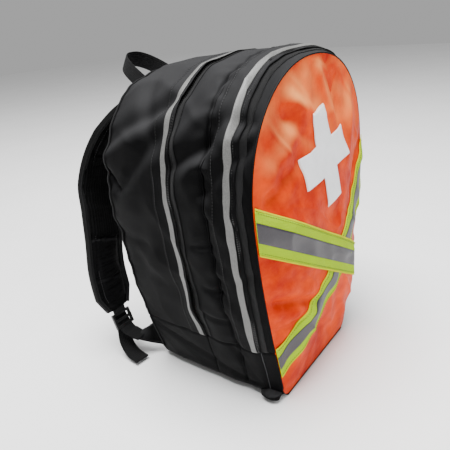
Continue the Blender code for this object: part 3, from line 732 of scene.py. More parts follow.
# ---- the front panel -----------------------------------------------------------------------
PANEL_COLUMNS = Columns(flat=16, arc=8, boot=14, seam=6, side=56, top=72)
RIM = PANEL_COLUMNS.flat_outline(np.full(PANEL_COLUMNS.count, FRONT_SEAM))


def radial_share(x, z):
    """How far points are from the panel's centre, as a share of the way to the seam."""
    corner = RIM - (0, PANEL_CENTRE_Z)
    angles = np.arctan2(corner[:, 1], corner[:, 0])
    corner, angles = corner[np.argsort(angles)], np.sort(angles)
    points = joined(x, np.asarray(z, float) - PANEL_CENTRE_Z)
    after = np.searchsorted(angles, np.arctan2(points[..., 1], points[..., 0])) % len(angles)
    start, edge = corner[after - 1], corner[after] - corner[after - 1]
    reach = start[..., 0] * edge[..., 1] - start[..., 1] * edge[..., 0]
    return (points[..., 0] * edge[..., 1] - points[..., 1] * edge[..., 0]) / reach


PANEL_FOLDS = (
    # x, z of both ends, half width, height
    (-0.118, 0.335, -0.06, 0.372, 0.012, 0.005), (-0.125, 0.305, -0.07, 0.33, 0.01, -0.0055),
    (-0.132, 0.285, -0.085, 0.262, 0.011, 0.0042), (-0.06, 0.4, -0.01, 0.372, 0.01, 0.005),
    (-0.075, 0.38, -0.03, 0.345, 0.009, -0.0045), (0.01, 0.42, 0.03, 0.37, 0.01, 0.004),
    (0.045, 0.405, 0.055, 0.34, 0.009, -0.004), (0.085, 0.36, 0.06, 0.31, 0.01, 0.004),
    (-0.128, 0.195, -0.07, 0.165, 0.009, 0.0048), (-0.124, 0.17, -0.07, 0.15, 0.007, -0.0055),
    (-0.118, 0.15, -0.06, 0.128, 0.009, 0.0046), (-0.112, 0.125, -0.055, 0.14, 0.007, -0.0045),
    (-0.06, 0.2, -0.01, 0.15, 0.012, 0.004), (0.02, 0.12, 0.05, 0.06, 0.01, -0.004),
    (0.06, 0.15, 0.085, 0.08, 0.012, 0.0042), (-0.02, 0.08, 0.03, 0.04, 0.009, -0.0036),
    (-0.02, 0.255, 0.04, 0.235, 0.012, -0.0034), (0.07, 0.26, 0.11, 0.3, 0.01, -0.0036),
)


def panel_relief(x, z, share):
    """Wrinkles of the stuffed panel: folds in from the seam and slack round the middle."""
    x, z = np.broadcast_arrays(np.asarray(x, float), np.asarray(z, float))
    angle = np.arctan2(z - PANEL_CENTRE_Z, x)
    round_trip = joined(np.cos(angle), np.sin(angle), 0.35 * share)
    near_seam = np.clip((share - 0.45) / 0.35, 0, 1) * np.clip((1 - share) / 0.1, 0, 1)
    relief = 0.003 * noise_at(round_trip, 0.16, 11) * near_seam
    flat = joined(x, z, 0)
    turned = flat @ np.array(((0.6, 0.8, 0), (-0.8, 0.6, 0), (0, 0, 1)))
    inside = np.clip((1 - share) / 0.25, 0, 1)
    relief += 0.0028 * noise_at(flat, 0.075, 12) * inside
    relief += 0.0026 * (ridges(turned * (1, 2.2, 1), 0.085, 13) - 0.4) * inside
    relief += 0.001 * noise_at(flat, 0.026, 14) * inside
    relief += line_folds(x, z, PANEL_FOLDS) * np.clip((1 - share) / 0.07, 0, 1)
    from_patch = np.hypot(x - CROSS_X, z - CROSS_Z)
    relief *= 1 - 0.65 * np.exp(-(from_patch / 0.075) ** 4)
    return relief


def panel_depth(x, z, share=None):
    share = radial_share(x, z) if share is None else share
    skew = np.clip(np.asarray(z) / STATIONS[2][0], 0, 1) ** 0.716
    fullness = 0.84 - 0.32 * np.clip(1 - np.asarray(z) / 0.16, 0, 1)
    crown = np.clip(np.sin(math.pi * skew), 0, 1) ** fullness
    plain = PANEL_BULGE * crown * (1 - np.clip(share, 0, 1) ** 2.3) ** 0.85
    return FRONT_SEAM - 0.0004 - plain - panel_relief(x, z, share)


def on_panel(x, z, proud):
    """World points at a height over the wrinkled panel, a little more beside the seam."""
    share = radial_share(x, z)
    lift = proud + 0.0011 * np.clip((share - 0.86) / 0.1, 0, 1)
    return to_world(x, panel_depth(x, z, share) - lift, z)


def front_panel():
    shares = np.concatenate([1 - np.linspace(0, 1, 26) ** 1.7 * 0.2,
                             np.linspace(0.79, 0.03, 50)])
    centre = np.array((0, PANEL_CENTRE_Z))
    layers = []
    for thickness in (0.0, 0.0018):
        rings = []
        for share in shares:
            flat = centre + (RIM - centre) * share
            here = np.full(len(flat), share)
            depth = panel_depth(flat[:, 0], flat[:, 1], here) + thickness
            if thickness:
                depth = np.minimum(depth, FRONT_SEAM - 0.0002)
            rings.append(to_world(flat[:, 0], depth, flat[:, 1]))
        layers.append(rings)
    piece = lofted("front_panel_cloth", layers[0][::-1] + layers[1], ORANGE, (0, 2))
    finish_piece(piece, "front_lid", "orange_fabric", "front_panel")


def cross():
    """The white cross and the worn border that shows round it."""
    arm, steps, border = CROSS_SIZE / 6, 20, 0.0016

    def plus(size, name, proud, thickness, finish, nodes):
        tip = size / 2
        marks = np.concatenate([np.linspace(-tip, -arm, steps, endpoint=False),
                                np.linspace(-arm, arm, steps, endpoint=False),
                                np.linspace(arm, tip, steps + 1)])
        x, z = np.meshgrid(marks, marks)
        x, z = (CROSS_X + x * math.cos(CROSS_TILT) - z * math.sin(CROSS_TILT),
                CROSS_Z + x * math.sin(CROSS_TILT) + z * math.cos(CROSS_TILT))
        in_arm = np.abs(middle(marks[:-1], marks[1:])) < arm
        cx, cz = np.meshgrid(in_arm, in_arm)
        return sheet_on_panel(name, x, z, cx | cz, proud, thickness, finish,
                              "front_lid", "white_patch", nodes)
    plus(CROSS_SIZE + 2 * border, "cross_border", 0.0007, 0.0006, PATCH_EDGE, ())
    plus(CROSS_SIZE, "cross_face", 0.0014, 0.0005, PATCH, ("cross_patch",))


def tape_grid(ends, width, offset, across, along=130, reach=0.997):
    """Grid of (x, z) for a straight tape from seam to seam."""
    start, end = (np.array(p) for p in ends)
    centre, run = middle(start, end), (end - start) / np.linalg.norm(end - start)
    side = np.array([-run[1], run[0]])
    xs, zs = [], []
    for share in np.linspace(-0.5, 0.5, across + 1):
        origin = centre + side * (width * share + offset)
        limits = []
        for sign in (-1, 1):
            low, high = 0.0, 0.25
            for _ in range(20):
                mid = middle(low, high)
                place = origin + sign * mid * run
                inside = radial_share(place[0], place[1]) < reach
                low, high = (mid, high) if inside else (low, mid)
            limits.append(sign * low)
        spread = np.linspace(-1, 1, along + 1)
        spread = np.sign(spread) * (1 - (1 - np.abs(spread)) ** 1.7)
        reached = np.interp(spread, (-1, 1), limits)
        line = origin + reached[:, None] * run
        xs.append(line[:, 0])
        zs.append(line[:, 1])
    return np.array(xs), np.array(zs)


def tapes():
    edge, row_inset = 0.0022, 0.0042
    for place, ends, base in (("lower", LOWER_TAPE, 0.0004), ("upper", UPPER_TAPE, 0.0016)):
        node = f"hivis_tape_{place}"
        x, z = tape_grid(ends, TAPE_WIDTH - 2 * edge, 0.0, 14)
        sheet_on_panel(f"{node}_web", x, z, None, base, 0.0007, LIME, "front_lid", "lime_tape",
                       (node,))
        for sign, word in ((-1, "low"), (1, "high")):
            x, z = tape_grid(ends, edge, sign * (TAPE_WIDTH - edge) / 2, 2)
            sheet_on_panel(f"{node}_{word}_edge", x, z, None, base, 0.0009, LIME_EDGE,
                           "front_lid", "lime_tape")
        for sign, word in ((-1, "low"), (1, "high")):
            x, z = tape_grid(ends, 0.0002, sign * (TAPE_WIDTH / 2 - row_inset), 1, reach=0.985)
            line = on_panel(x[0], z[0], base + 0.0007)
            stitches(f"{node}_{word}_row", line, np.array((0, -1.0, 0)), THREAD_OLIVE,
                     "front_lid", "lime_tape")
        x, z = tape_grid(ends, TAPE_SILVER, 0.0, 8)
        sheet_on_panel(f"{node}_film", x, z, None, base + 0.0008, 0.0003, SILVER, "front_lid",
                       "silver_tape", (f"{node}_centre",))


# ---- swept pieces: piping, webbing, straps -------------------------------------------------
def round_profile(radius, count=8):
    turn = np.linspace(0, 2 * math.pi, count, endpoint=False)
    return joined(np.cos(turn), np.sin(turn)) * radius


def strap_profile(half, thickness, count=18):
    """A flat section with soft edges, half as wide as half and thickness thick."""
    turn = np.linspace(0, 2 * math.pi, count, endpoint=False)
    a, b = np.cos(turn), np.sin(turn)
    wide = np.sign(a) * np.abs(a) ** 0.35
    tall = np.sign(b) * np.abs(b) ** 0.55
    return joined(wide * half, tall * thickness / 2)


def resample(points, count):
    travel = run_of(points)
    return at_marks(np.linspace(0, 1, count) * travel[-1], travel, points)


def smooth_route(route, count):
    """Evenly spaced points on a smooth curve through the route's points."""
    knots = np.array(route, float)
    ends = np.vstack([2 * knots[0] - knots[1], knots, 2 * knots[-1] - knots[-2]])
    dense = []
    for a, b, c, d in zip(ends, ends[1:], ends[2:], ends[3:]):
        t = np.linspace(0, 1, 12, endpoint=False)[:, None]
        dense.append(0.5 * (2 * b + (c - a) * t + (2 * a - 5 * b + 4 * c - d) * t * t
                            + (3 * b - a - 3 * c + d) * t ** 3))
    return resample(np.concatenate([*dense, knots[-1:]]), count)


def swept(name, centre, normal, profile, finish, size=1.0):
    """A closed profile swept along a line. normal is the way the profile's second axis points."""
    tangent = unit(np.gradient(centre, axis=0))
    normal = np.broadcast_to(normal, centre.shape)
    normal = unit(normal - (normal * tangent).sum(1)[:, None] * tangent)
    beside = np.cross(tangent, normal)
    parts = np.shape(size)[-1] if np.ndim(size) > 1 else 1
    size = np.broadcast_to(np.reshape(size, (-1, 1, parts)), (len(centre), 1, 2))
    shape = profile[None] * size
    points = centre[:, None] + shape[..., :1] * beside[:, None] + shape[..., 1:] * normal[:, None]
    around = profile[:, 0] - profile[:, 0].min()
    uv = joined(np.tile(around, len(centre)), np.repeat(run_of(centre), len(profile)))
    return outward_normals(mesh_object(name, points.reshape(-1, 3),
                                       capped_faces(len(centre), len(profile)), finish, uv=uv))


def piping(name, depth, radius, outward, finish, body, slot, node, wander=None):
    """A cord along a seam, from above one bottom corner round to the other."""
    depths = np.full(COLUMNS.count, float(depth))
    if wander is not None:
        depths += wander(COLUMNS.frame_at(depths)[2], depth)
    points, normal, _ = skin(depths, outward)
    picked = np.flatnonzero(COLUMNS.kind >= 2)
    piece = swept(name, points[picked], upright(normal[picked]), round_profile(radius), finish)
    finish_piece(piece, body, slot, node)


def stitches(name, line, normal, finish, body, slot, pitch=0.0036, length=0.0025,
             radius=0.00036, lift=0.0002):
    """A row of single stitches along a line, as one piece."""
    travel = run_of(line)
    marks = (np.arange(max(2, int(travel[-1] / pitch))) + 0.5) * pitch
    marks = marks[marks < travel[-1]]
    at = at_marks(marks, travel, line)
    along = at_marks(marks + 0.0008, travel, line) - at
    up = unit(at_marks(marks, travel, np.broadcast_to(normal, line.shape)))
    keep = np.linalg.norm(along, axis=1) > 1e-7
    at, up, along = at[keep] + up[keep] * lift, up[keep], unit(along[keep])
    beside = np.cross(along, up)
    shape = []
    for share, size in ((-1, 0.2), (-0.6, 1.0), (0.6, 1.0), (1, 0.2)):
        for a, b in ((1, 0), (0, 1), (-1, 0), (0, -1)):
            shape.append(at + along * length / 2 * share + (beside * a + up * b) * radius * size)
    points = np.stack(shape, 1).reshape(-1, 3)
    faces = repeated(capped_faces(4, 4), 16, len(at))
    finish_piece(outward_normals(mesh_object(name, points, faces, finish)), body, slot)


def ring_stitches(name, depth, outward, body):
    """A row of stitches over the sides and top at one depth."""
    points, normal, _ = skin(depth, outward)
    picked = seam_columns(BASE_SEAM_Z + 0.004)
    stitches(name, points[picked], upright(normal[picked]), THREAD, body, "black_webbing")


# ---- flat cloth pieces ---------------------------------------------------------------------
def thin_sheet(name, x, z, surface, thickness, finish, keep=None):
    """A thin closed sheet. surface(x, z, height) gives points; x and z are grids."""
    rows, columns = x.shape
    upper = surface(x, z, thickness).reshape(-1, 3)
    lower = surface(x, z, 0.0).reshape(-1, 3)
    quads = grid_faces(rows, columns)
    if keep is not None:
        quads = [q for q, k in zip(quads, np.asarray(keep).ravel()) if k]
    used = sorted({i for q in quads for i in q})
    new = {old: k for k, old in enumerate(used)}
    quads = [tuple(new[i] for i in q) for q in quads]
    count = len(used)
    sides = {edge for q in quads for edge in zip(q, q[1:] + q[:1])}
    faces = quads + [tuple(i + count for i in reversed(q)) for q in quads]
    faces += [(j, i, i + count, j + count) for i, j in sides if (j, i) not in sides]
    flat = joined(x.ravel(), z.ravel())[used]
    return outward_normals(mesh_object(name, np.concatenate([upper[used], lower[used]]), faces,
                                       finish, uv=np.concatenate([flat, flat])))


def sheet_on_panel(name, x, z, keep, proud, thickness, finish, body, slot, nodes=()):
    """A thin sheet laid on the front panel."""
    piece = thin_sheet(name, x, z, lambda a, b, h: on_panel(a, b, proud + h), thickness, finish,
                       keep)
    finish_piece(piece, body, slot, *nodes)


def yoke():
    """The rectangle of cloth on the back wall that the straps come out of."""
    low, _, x, z = box_grid("strap_yoke", 40, 12)

    def surface(a, b, height):
        ripple = 0.0006 * loose(a, b, 0.02, 41)
        return joined(a, low[1] + 0.0002 + ripple + height, b)
    piece = thin_sheet("yoke_cloth", x, z, surface, 0.0016, NYLON)
    finish_piece(piece, "rear_section", "black_nylon", "strap_yoke")


def row_on(name, start, end, body, normal=(0, 1, 0)):
    """A straight row of stitches."""
    line = np.linspace(start, end, 40)
    stitches(name, line, np.array(normal, float), THREAD, body, "black_webbing")


# ---- stuffed pieces ------------------------------------------------------------------------
def inflate(piece, cap):
    """Swells a closed piece like stuffed cloth: no point moves inward, or further than cap."""
    voxel, pressure, frames = 0.005, 4.0, 20
    remesh = piece.modifiers.new("remesh", "REMESH")
    remesh.mode = "VOXEL"
    remesh.voxel_size = voxel
    apply_modifiers(piece)
    start, outward = mesh_points(piece), vectors(piece.data.vertices, "normal")
    cloth_modifier = piece.modifiers.new("cloth", "CLOTH")
    settings = cloth_modifier.settings
    settings.quality = 5
    settings.use_pressure = True
    settings.uniform_pressure_force = pressure
    settings.effector_weights.gravity = 0
    cloth_modifier.point_cache.frame_start = 1
    cloth_modifier.point_cache.frame_end = frames
    for frame_number in range(1, frames + 1):
        bpy.context.scene.frame_set(frame_number)
    apply_modifiers(piece)
    bpy.context.scene.frame_set(1)
    moved = mesh_points(piece) - start
    inward = np.minimum((moved * outward).sum(1, keepdims=True), 0)
    moved = moved - outward * inward
    length = np.linalg.norm(moved, axis=1, keepdims=True)
    scale = np.minimum(1, cap / np.maximum(length, 1e-9))
    set_points(piece, start + moved * scale)
    subdivide = piece.modifiers.new("subdivide", "SUBSURF")
    subdivide.levels = subdivide.render_levels = 1
    apply_modifiers(piece)
    piece.data.shade_smooth()
    return piece


def apply_modifiers(piece):
    graph = bpy.context.evaluated_depsgraph_get()
    graph.update()
    mesh = bpy.data.meshes.new_from_object(piece.evaluated_get(graph))
    piece.modifiers.clear()
    piece.data = mesh


def vectors(items, attribute):
    """A vector attribute of a mesh's vertices or polygons, as an array."""
    flat = np.zeros(len(items) * 3)
    items.foreach_get(attribute, flat)
    return flat.reshape(-1, 3)


def mesh_points(piece):
    return vectors(piece.data.vertices, "co")


def set_points(piece, points):
    piece.data.vertices.foreach_set("co", np.ascontiguousarray(points).ravel())
    piece.data.update()


def rounded_rectangle(low, high, corner, steps=6):
    """Points round a rectangle in x and z."""
    points = []
    for cx, cz, start in ((high[0] - corner, high[2] - corner, 0),
                          (low[0] + corner, high[2] - corner, 90),
                          (low[0] + corner, low[2] + corner, 180),
                          (high[0] - corner, low[2] + corner, 270)):
        for turn in np.linspace(0, 90, steps):
            angle = math.radians(start + turn)
            points.append((cx + corner * math.cos(angle), cz + corner * math.sin(angle)))
    return np.array(points)


CHANNEL_DEPTH, CHANNEL_REACH = 0.0048, 0.0042
PAD_CHANNELS = (0.176, 0.235, 0.294)


def back_pad(node, channels):
    """A foam pad covered in mesh cloth, sewn down across at each channel height."""
    low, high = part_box(node)
    wall = low[1]
    rings = []
    for inset, y in ((0.004, wall + 0.001), (0.002, wall + 0.003), (0.003, wall + 0.006),
                     (0.007, wall + 0.0085)):
        flat = rounded_rectangle((low[0] + inset, 0, low[2] + inset),
                                 (high[0] - inset, 0, high[2] - inset), 0.018)
        rings.append(joined(flat[:, 0], y, flat[:, 1]))
    piece = inflate(lofted(f"{node}_foam", rings, MESH_CLOTH), 0.006)
    place = mesh_points(piece)
    outer = np.clip((place[:, 1] - wall - 0.002) / 0.004, 0, 1)
    for height in channels:
        place[:, 1] -= outer * CHANNEL_DEPTH * bell(place[:, 2] - height, CHANNEL_REACH)
    place[:, 1] += outer * 0.001 * noise_at(place, 0.045, 51)
    place[:, 1] = np.maximum(place[:, 1], wall + 0.0003)
    set_points(piece, place)
    finish_piece(piece, "rear_section", "black_mesh", node)
    flat = rounded_rectangle(low, high, 0.016, 8)
    rim = joined(flat[:, 0], wall + 0.0022, flat[:, 1])
    rim = np.vstack([rim, rim[:1]])
    binding = swept(f"{node}_binding", resample(rim, 120), np.array((0, 1.0, 0)),
                    strap_profile(0.003, 0.0036, 12), WEBBING)
    finish_piece(binding, "rear_section", "black_webbing")
    for k, height in enumerate(channels):
        y = wall + 0.0062
        row_on(f"{node}_channel_{k}", (low[0] + 0.008, y, height), (high[0] - 0.008, y, height),
               "rear_section")


# ---- zips ----------------------------------------------------------------------------------
def zip_side(prefix, split, toward, width, body, nodes):
    """One side of a zip: its cloth tape and its row of teeth."""
    edge, far = split + toward * 0.0006, split + toward * width
    rules = [lambda x, z, t, d=d: (d, 0.001) for d in np.linspace(edge, far, 5)]
    band(f"{prefix}_tape", rules, TAPE_CLOTH, body, "zip_coil", nodes, thickness=0.0006)
    points, normal, _ = skin(split + toward * 0.001, 0.0018)
    picked = seam_columns()
    line, reach = points[picked], run_of(points[picked])
    pitch = 0.003
    marks = np.arange(pitch, reach[-1] - pitch, pitch) + (pitch / 2 if toward < 0 else 0)
    at = at_marks(marks, reach, line)
    along = unit(np.gradient(at, axis=0))
    up = unit(upright(at_marks(marks, reach, normal[picked])))
    beside = np.cross(along, up)
    shape = []
    for a in (-0.0008, 0.0008):
        for b, lean in ((-0.0013, 0.0), (-0.0009, 0.0011), (0.0009, 0.0011), (0.0013, 0.0)):
            shape.append(at + along * a * (1 - lean * 200) + beside * b + up * lean)
    teeth = mesh_object(f"{prefix}_teeth", np.stack(shape, 1).reshape(-1, 3),
                        repeated(capped_faces(2, 4), 8, len(at)), COIL, smooth=False)
    finish_piece(outward_normals(teeth), body, "zip_coil")


# ---- inside the compartments ---------------------------------------------------------------
def divider():
    """The padded wall between the two compartments."""
    outline = COLUMNS.flat_outline(np.full(COLUMNS.count, CENTRE_SEAM))
    centre, rim_share = np.array((0, 0.22)), 0.94
    layers = []
    for toward in (-1, 1):
        rings = []
        for share in np.linspace(rim_share, 0.04, 26):
            flat = centre + (outline - centre) * share
            swell = 0.0013 * np.clip((rim_share - share) * 12, 0, 1)
            swell = swell * (1 + 0.5 * noise_at(joined(flat[:, 0], 0, flat[:, 1]), 0.06,
                                                61 + toward))
            rings.append(to_world(flat[:, 0], CENTRE_SEAM + toward * (0.0003 + swell), flat[:, 1]))
        layers.append(rings)
    piece = lofted("divider_cloth", layers[0][::-1] + layers[1], LINING, (0, 2))
    finish_piece(piece, "middle_section", "grey_lining", "divider_wall")


def box_grid(node, columns, rows):
    """The corners of a node's box, and a grid of (x, z) over it."""
    low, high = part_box(node)
    return low, high, *np.meshgrid(np.linspace(low[0], high[0], columns),
                                   np.linspace(low[2], high[2], rows))


def elastic(name, node, across, out, thickness, body, wider=0.0):
    """Wide elastic across a node's box. out is how far back each place of it lies."""
    low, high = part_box(node)
    piece = swept(name, joined(across, out, middle(low[2], high[2])), np.array((0, 1.0, 0)),
                  strap_profile((high[2] - low[2]) / 2 + wider, thickness), WEBBING)
    finish_piece(piece, body, "black_webbing", node)


def pocket(prefix, node, hem_node, body):
    """A slack mesh pocket and the gathered elastic along its mouth. It opens toward the back."""
    gathers = 17
    low, high, x, z = box_grid(node, 60, 36)
    share_x = (x - low[0]) / (high[0] - low[0])
    share_z = (z - low[2]) / (high[2] - low[2])
    belly = 0.007 * np.sin(math.pi * share_x) ** 0.5 * np.sin(math.pi * share_z * 0.88) ** 0.7
    pleats = 0.0009 * np.sin(share_x * 2 * math.pi * gathers) * share_z ** 2

    def surface(a, b, height):
        slack = 0.0012 * loose(a, b, 0.03, 71)
        return joined(a, low[1] + slack + belly + pleats + height, b)
    piece = thin_sheet(f"{prefix}_mesh", x, z, surface, 0.0005, POCKET_MESH)
    finish_piece(piece, body, "black_mesh", node)
    low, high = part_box(hem_node)
    across = np.linspace(low[0], high[0], 140)
    share = (across - low[0]) / (high[0] - low[0])
    out = low[1] + 0.0022 + 0.0009 * np.sin(share * 2 * math.pi * gathers)
    elastic(f"{prefix}_elastic", hem_node, across, out, 0.0016, body)


def elastic_loops(name, node, toward, loops, body):
    """Wide elastic sewn down at intervals, so that it stands off in shallow loops."""
    low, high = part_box(node)
    across = np.linspace(low[0], high[0], loops * 16 + 1)
    share = (across - low[0]) / (high[0] - low[0])
    base = low[1] if toward > 0 else high[1]
    out = base + toward * (0.001 + 0.0042 * np.abs(np.sin(share * math.pi * loops)) ** 0.8)
    elastic(name, node, across, out, 0.0013, body)
    for k in range(loops + 1):
        x = low[0] + (high[0] - low[0]) * k / loops
        x = min(max(x, low[0] + 0.0015), high[0] - 0.0015)
        y = base + toward * 0.002
        row_on(f"{name}_tack_{k}", (x, y, low[2] + 0.003), (x, y, high[2] - 0.003), body,
               (0, toward, 0))


# ---- carrying parts ------------------------------------------------------------------------
LOOP_FOOT = np.array((0.0, 0.118, 0.399))
LOOP_FOOT_X, LOOP_REACH, LOOP_LEAN = 0.036, 0.088, math.radians(58)
WEBBING_HALF, WEBBING_THICKNESS = 0.0125, 0.0018
WING_SEWN = np.array(((0.098, 0.1116, 0.01), (0.106, 0.1116, 0.066)))
WING_TIP = np.array(((0.138, 0.146, 0.036), (0.113, 0.146, 0.036)))
STRAP_ROUTE = ((0.062, 0.13, 0.404), (0.074, 0.158, 0.378), (0.092, 0.188, 0.33),
               (0.102, 0.2027, 0.285), (0.111, 0.196, 0.245), (0.119, 0.191, 0.2),
               (0.125, 0.191, 0.15), (0.1265, 0.186, 0.108), (0.1275, 0.178, 0.076))
STRAP_TOP_ROUTE = ((0.06, 0.1128, 0.402), (0.0602, 0.118, 0.4085), (0.0612, 0.1255, 0.4085),
                   (0.064, 0.134, 0.4), (0.07, 0.147, 0.388))
WEBBING_ROUTE = ((0.124, 0.135, 0.036), (0.125, 0.144, 0.0372), (0.1262, 0.1532, 0.0404),
                 (0.1274, 0.16, 0.0425), (0.128, 0.168, 0.0505), (0.128, 0.174, 0.059),
                 (0.1278, 0.179, 0.068))
KEEPER_ROUTE = ((0.1272, 0.1806, 0.09), (0.1275, 0.1784, 0.079), (0.1278, 0.1758, 0.0705))
TAIL_ROUTE = ((0.128, 0.176, 0.056), (0.13, 0.1712, 0.0425), (0.1345, 0.165, 0.024),
              (0.139, 0.148, 0.01), (0.142, 0.124, 0.0065))
PAD_HALF_WIDTH, PAD_THICKNESS = 0.034, 0.012
NYLON_FROM = 0.66              # the lower part of each strap is covered in plain nylon
STRAP_LANE = 0.6               # where its stitch rows run, as a share of its half width
STRAP_CREASES = ((0.3, 0.0022), (0.52, 0.0012), (NYLON_FROM, 0.003), (0.84, 0.0016))


def row_frame(route, side):
    """A route of (x, depth, z) in the row frame, on the given side."""
    points = np.array(route, float)
    return to_world(points[:, 0] * side, points[:, 1], points[:, 2])


def haul_loop():
    turn = np.linspace(0, math.pi, 60)
    up = np.array((0, math.sin(LOOP_LEAN), math.cos(LOOP_LEAN)))
    outward = np.array((0, math.cos(LOOP_LEAN), -math.sin(LOOP_LEAN)))
    x = LOOP_FOOT_X * np.sign(np.cos(turn)) * np.abs(np.cos(turn)) ** 0.75
    rise = 0.003 + LOOP_REACH * np.sin(turn) ** 0.85
    flop = -0.005 * np.sin(turn) ** 2
    places = LOOP_FOOT + joined(x + flop, 0, 0) + rise[:, None] * up
    line = smooth_route(to_world(places[:, 0], places[:, 1], places[:, 2])[::3], 90)
    face = np.cross(unit(np.gradient(line, axis=0)), outward)
    piece = swept("haul_loop_webbing", line, face, strap_profile(WEBBING_HALF, 0.0022), WEBBING)
    finish_piece(piece, "haul_loop", "black_webbing", "haul_loop")
    low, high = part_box("haul_loop_anchor")
    y = low[1] + 0.0012
    elastic("haul_loop_anchor_webbing", "haul_loop_anchor", np.linspace(low[0], high[0], 40), y,
            WEBBING_THICKNESS, "rear_section", 0.001)
    for k, z in enumerate((low[2] + 0.002, high[2] - 0.002)):
        row_on(f"haul_loop_anchor_row_{k}", (low[0] + 0.003, y + 0.0012, z),
               (high[0] - 0.003, y + 0.0012, z), "rear_section")


def wing_tab(word, side):
    """Nylon sewn upright to the back's edge and turned flat where the webbing is sewn on."""
    steps = np.linspace(0, 1, 20)
    across = np.linspace(0, 1, 12)
    grid = []
    for share in steps:
        low = WING_SEWN[0] + (WING_TIP[0] - WING_SEWN[0]) * share
        high = WING_SEWN[1] + (WING_TIP[1] - WING_SEWN[1]) * share
        grid.append(low + (high - low) * across[:, None])
    grid = np.array(grid)
    run = unit(np.gradient(grid, axis=0))
    lateral = unit(np.gradient(grid, axis=1))
    normal = unit(np.cross(run, lateral))
    slack = 0.001 * noise_at(grid, 0.018, 81)
    grid = grid + normal * slack[..., None]
    thick = 0.0011
    upper, lower = grid + normal * thick, grid - normal * thick

    def surface(a, b, height):
        places = upper if height > 0 else lower
        return to_world(places[..., 0] * side, places[..., 1], places[..., 2])
    u, v = np.meshgrid(across * 0.05, steps * 0.045)
    piece = thin_sheet(f"wing_tab_{word}_cloth", u, v, surface, 0.001, NYLON)
    finish_piece(piece, "rear_section", "black_nylon", f"wing_tab_{word}")
    for k, edge in enumerate((1, -2)):
        for sign, word_2 in ((1, "out"), (-1, "in")):
            line = grid[:, edge] + normal[:, edge] * sign * (thick + 0.0002)
            stitches(f"wing_tab_{word}_row_{k}_{word_2}", row_frame(line, side),
                     normal[:, edge] * (side, 1, 1) * sign,
                     THREAD, "rear_section", "black_nylon")


def pad_half_width(share):
    top = np.minimum(1.0, 0.4 + share * 3.0)
    end = np.minimum(1.0, 0.6 + (1 - share) * 5.0)
    return PAD_HALF_WIDTH * np.minimum(top, end)


def strap_frame(line):
    """Outward face direction of a strap line, away from the wearer's side of the pack."""
    tangent = unit(np.gradient(line, axis=0))
    across = np.array((1.0, 0, 0)) - tangent[:, :1] * tangent
    return -np.cross(tangent, unit(across)), unit(across)


def on_line(place, line):
    """For each point: how far along the line, across it, and out from it."""
    outward, across = strap_frame(line)
    travel = run_of(line)
    nearest = np.array([np.argmin(((line - p) ** 2).sum(1)) for p in place])
    off = place - line[nearest]
    return travel[nearest], (off * across[nearest]).sum(1), (off * outward[nearest]).sum(1)


def webbing_along(name, line, half=WEBBING_HALF, thickness=WEBBING_THICKNESS):
    """Webbing that faces away from the wearer's side of the pack."""
    return swept(name, line, strap_frame(line)[0], strap_profile(half, thickness), WEBBING)


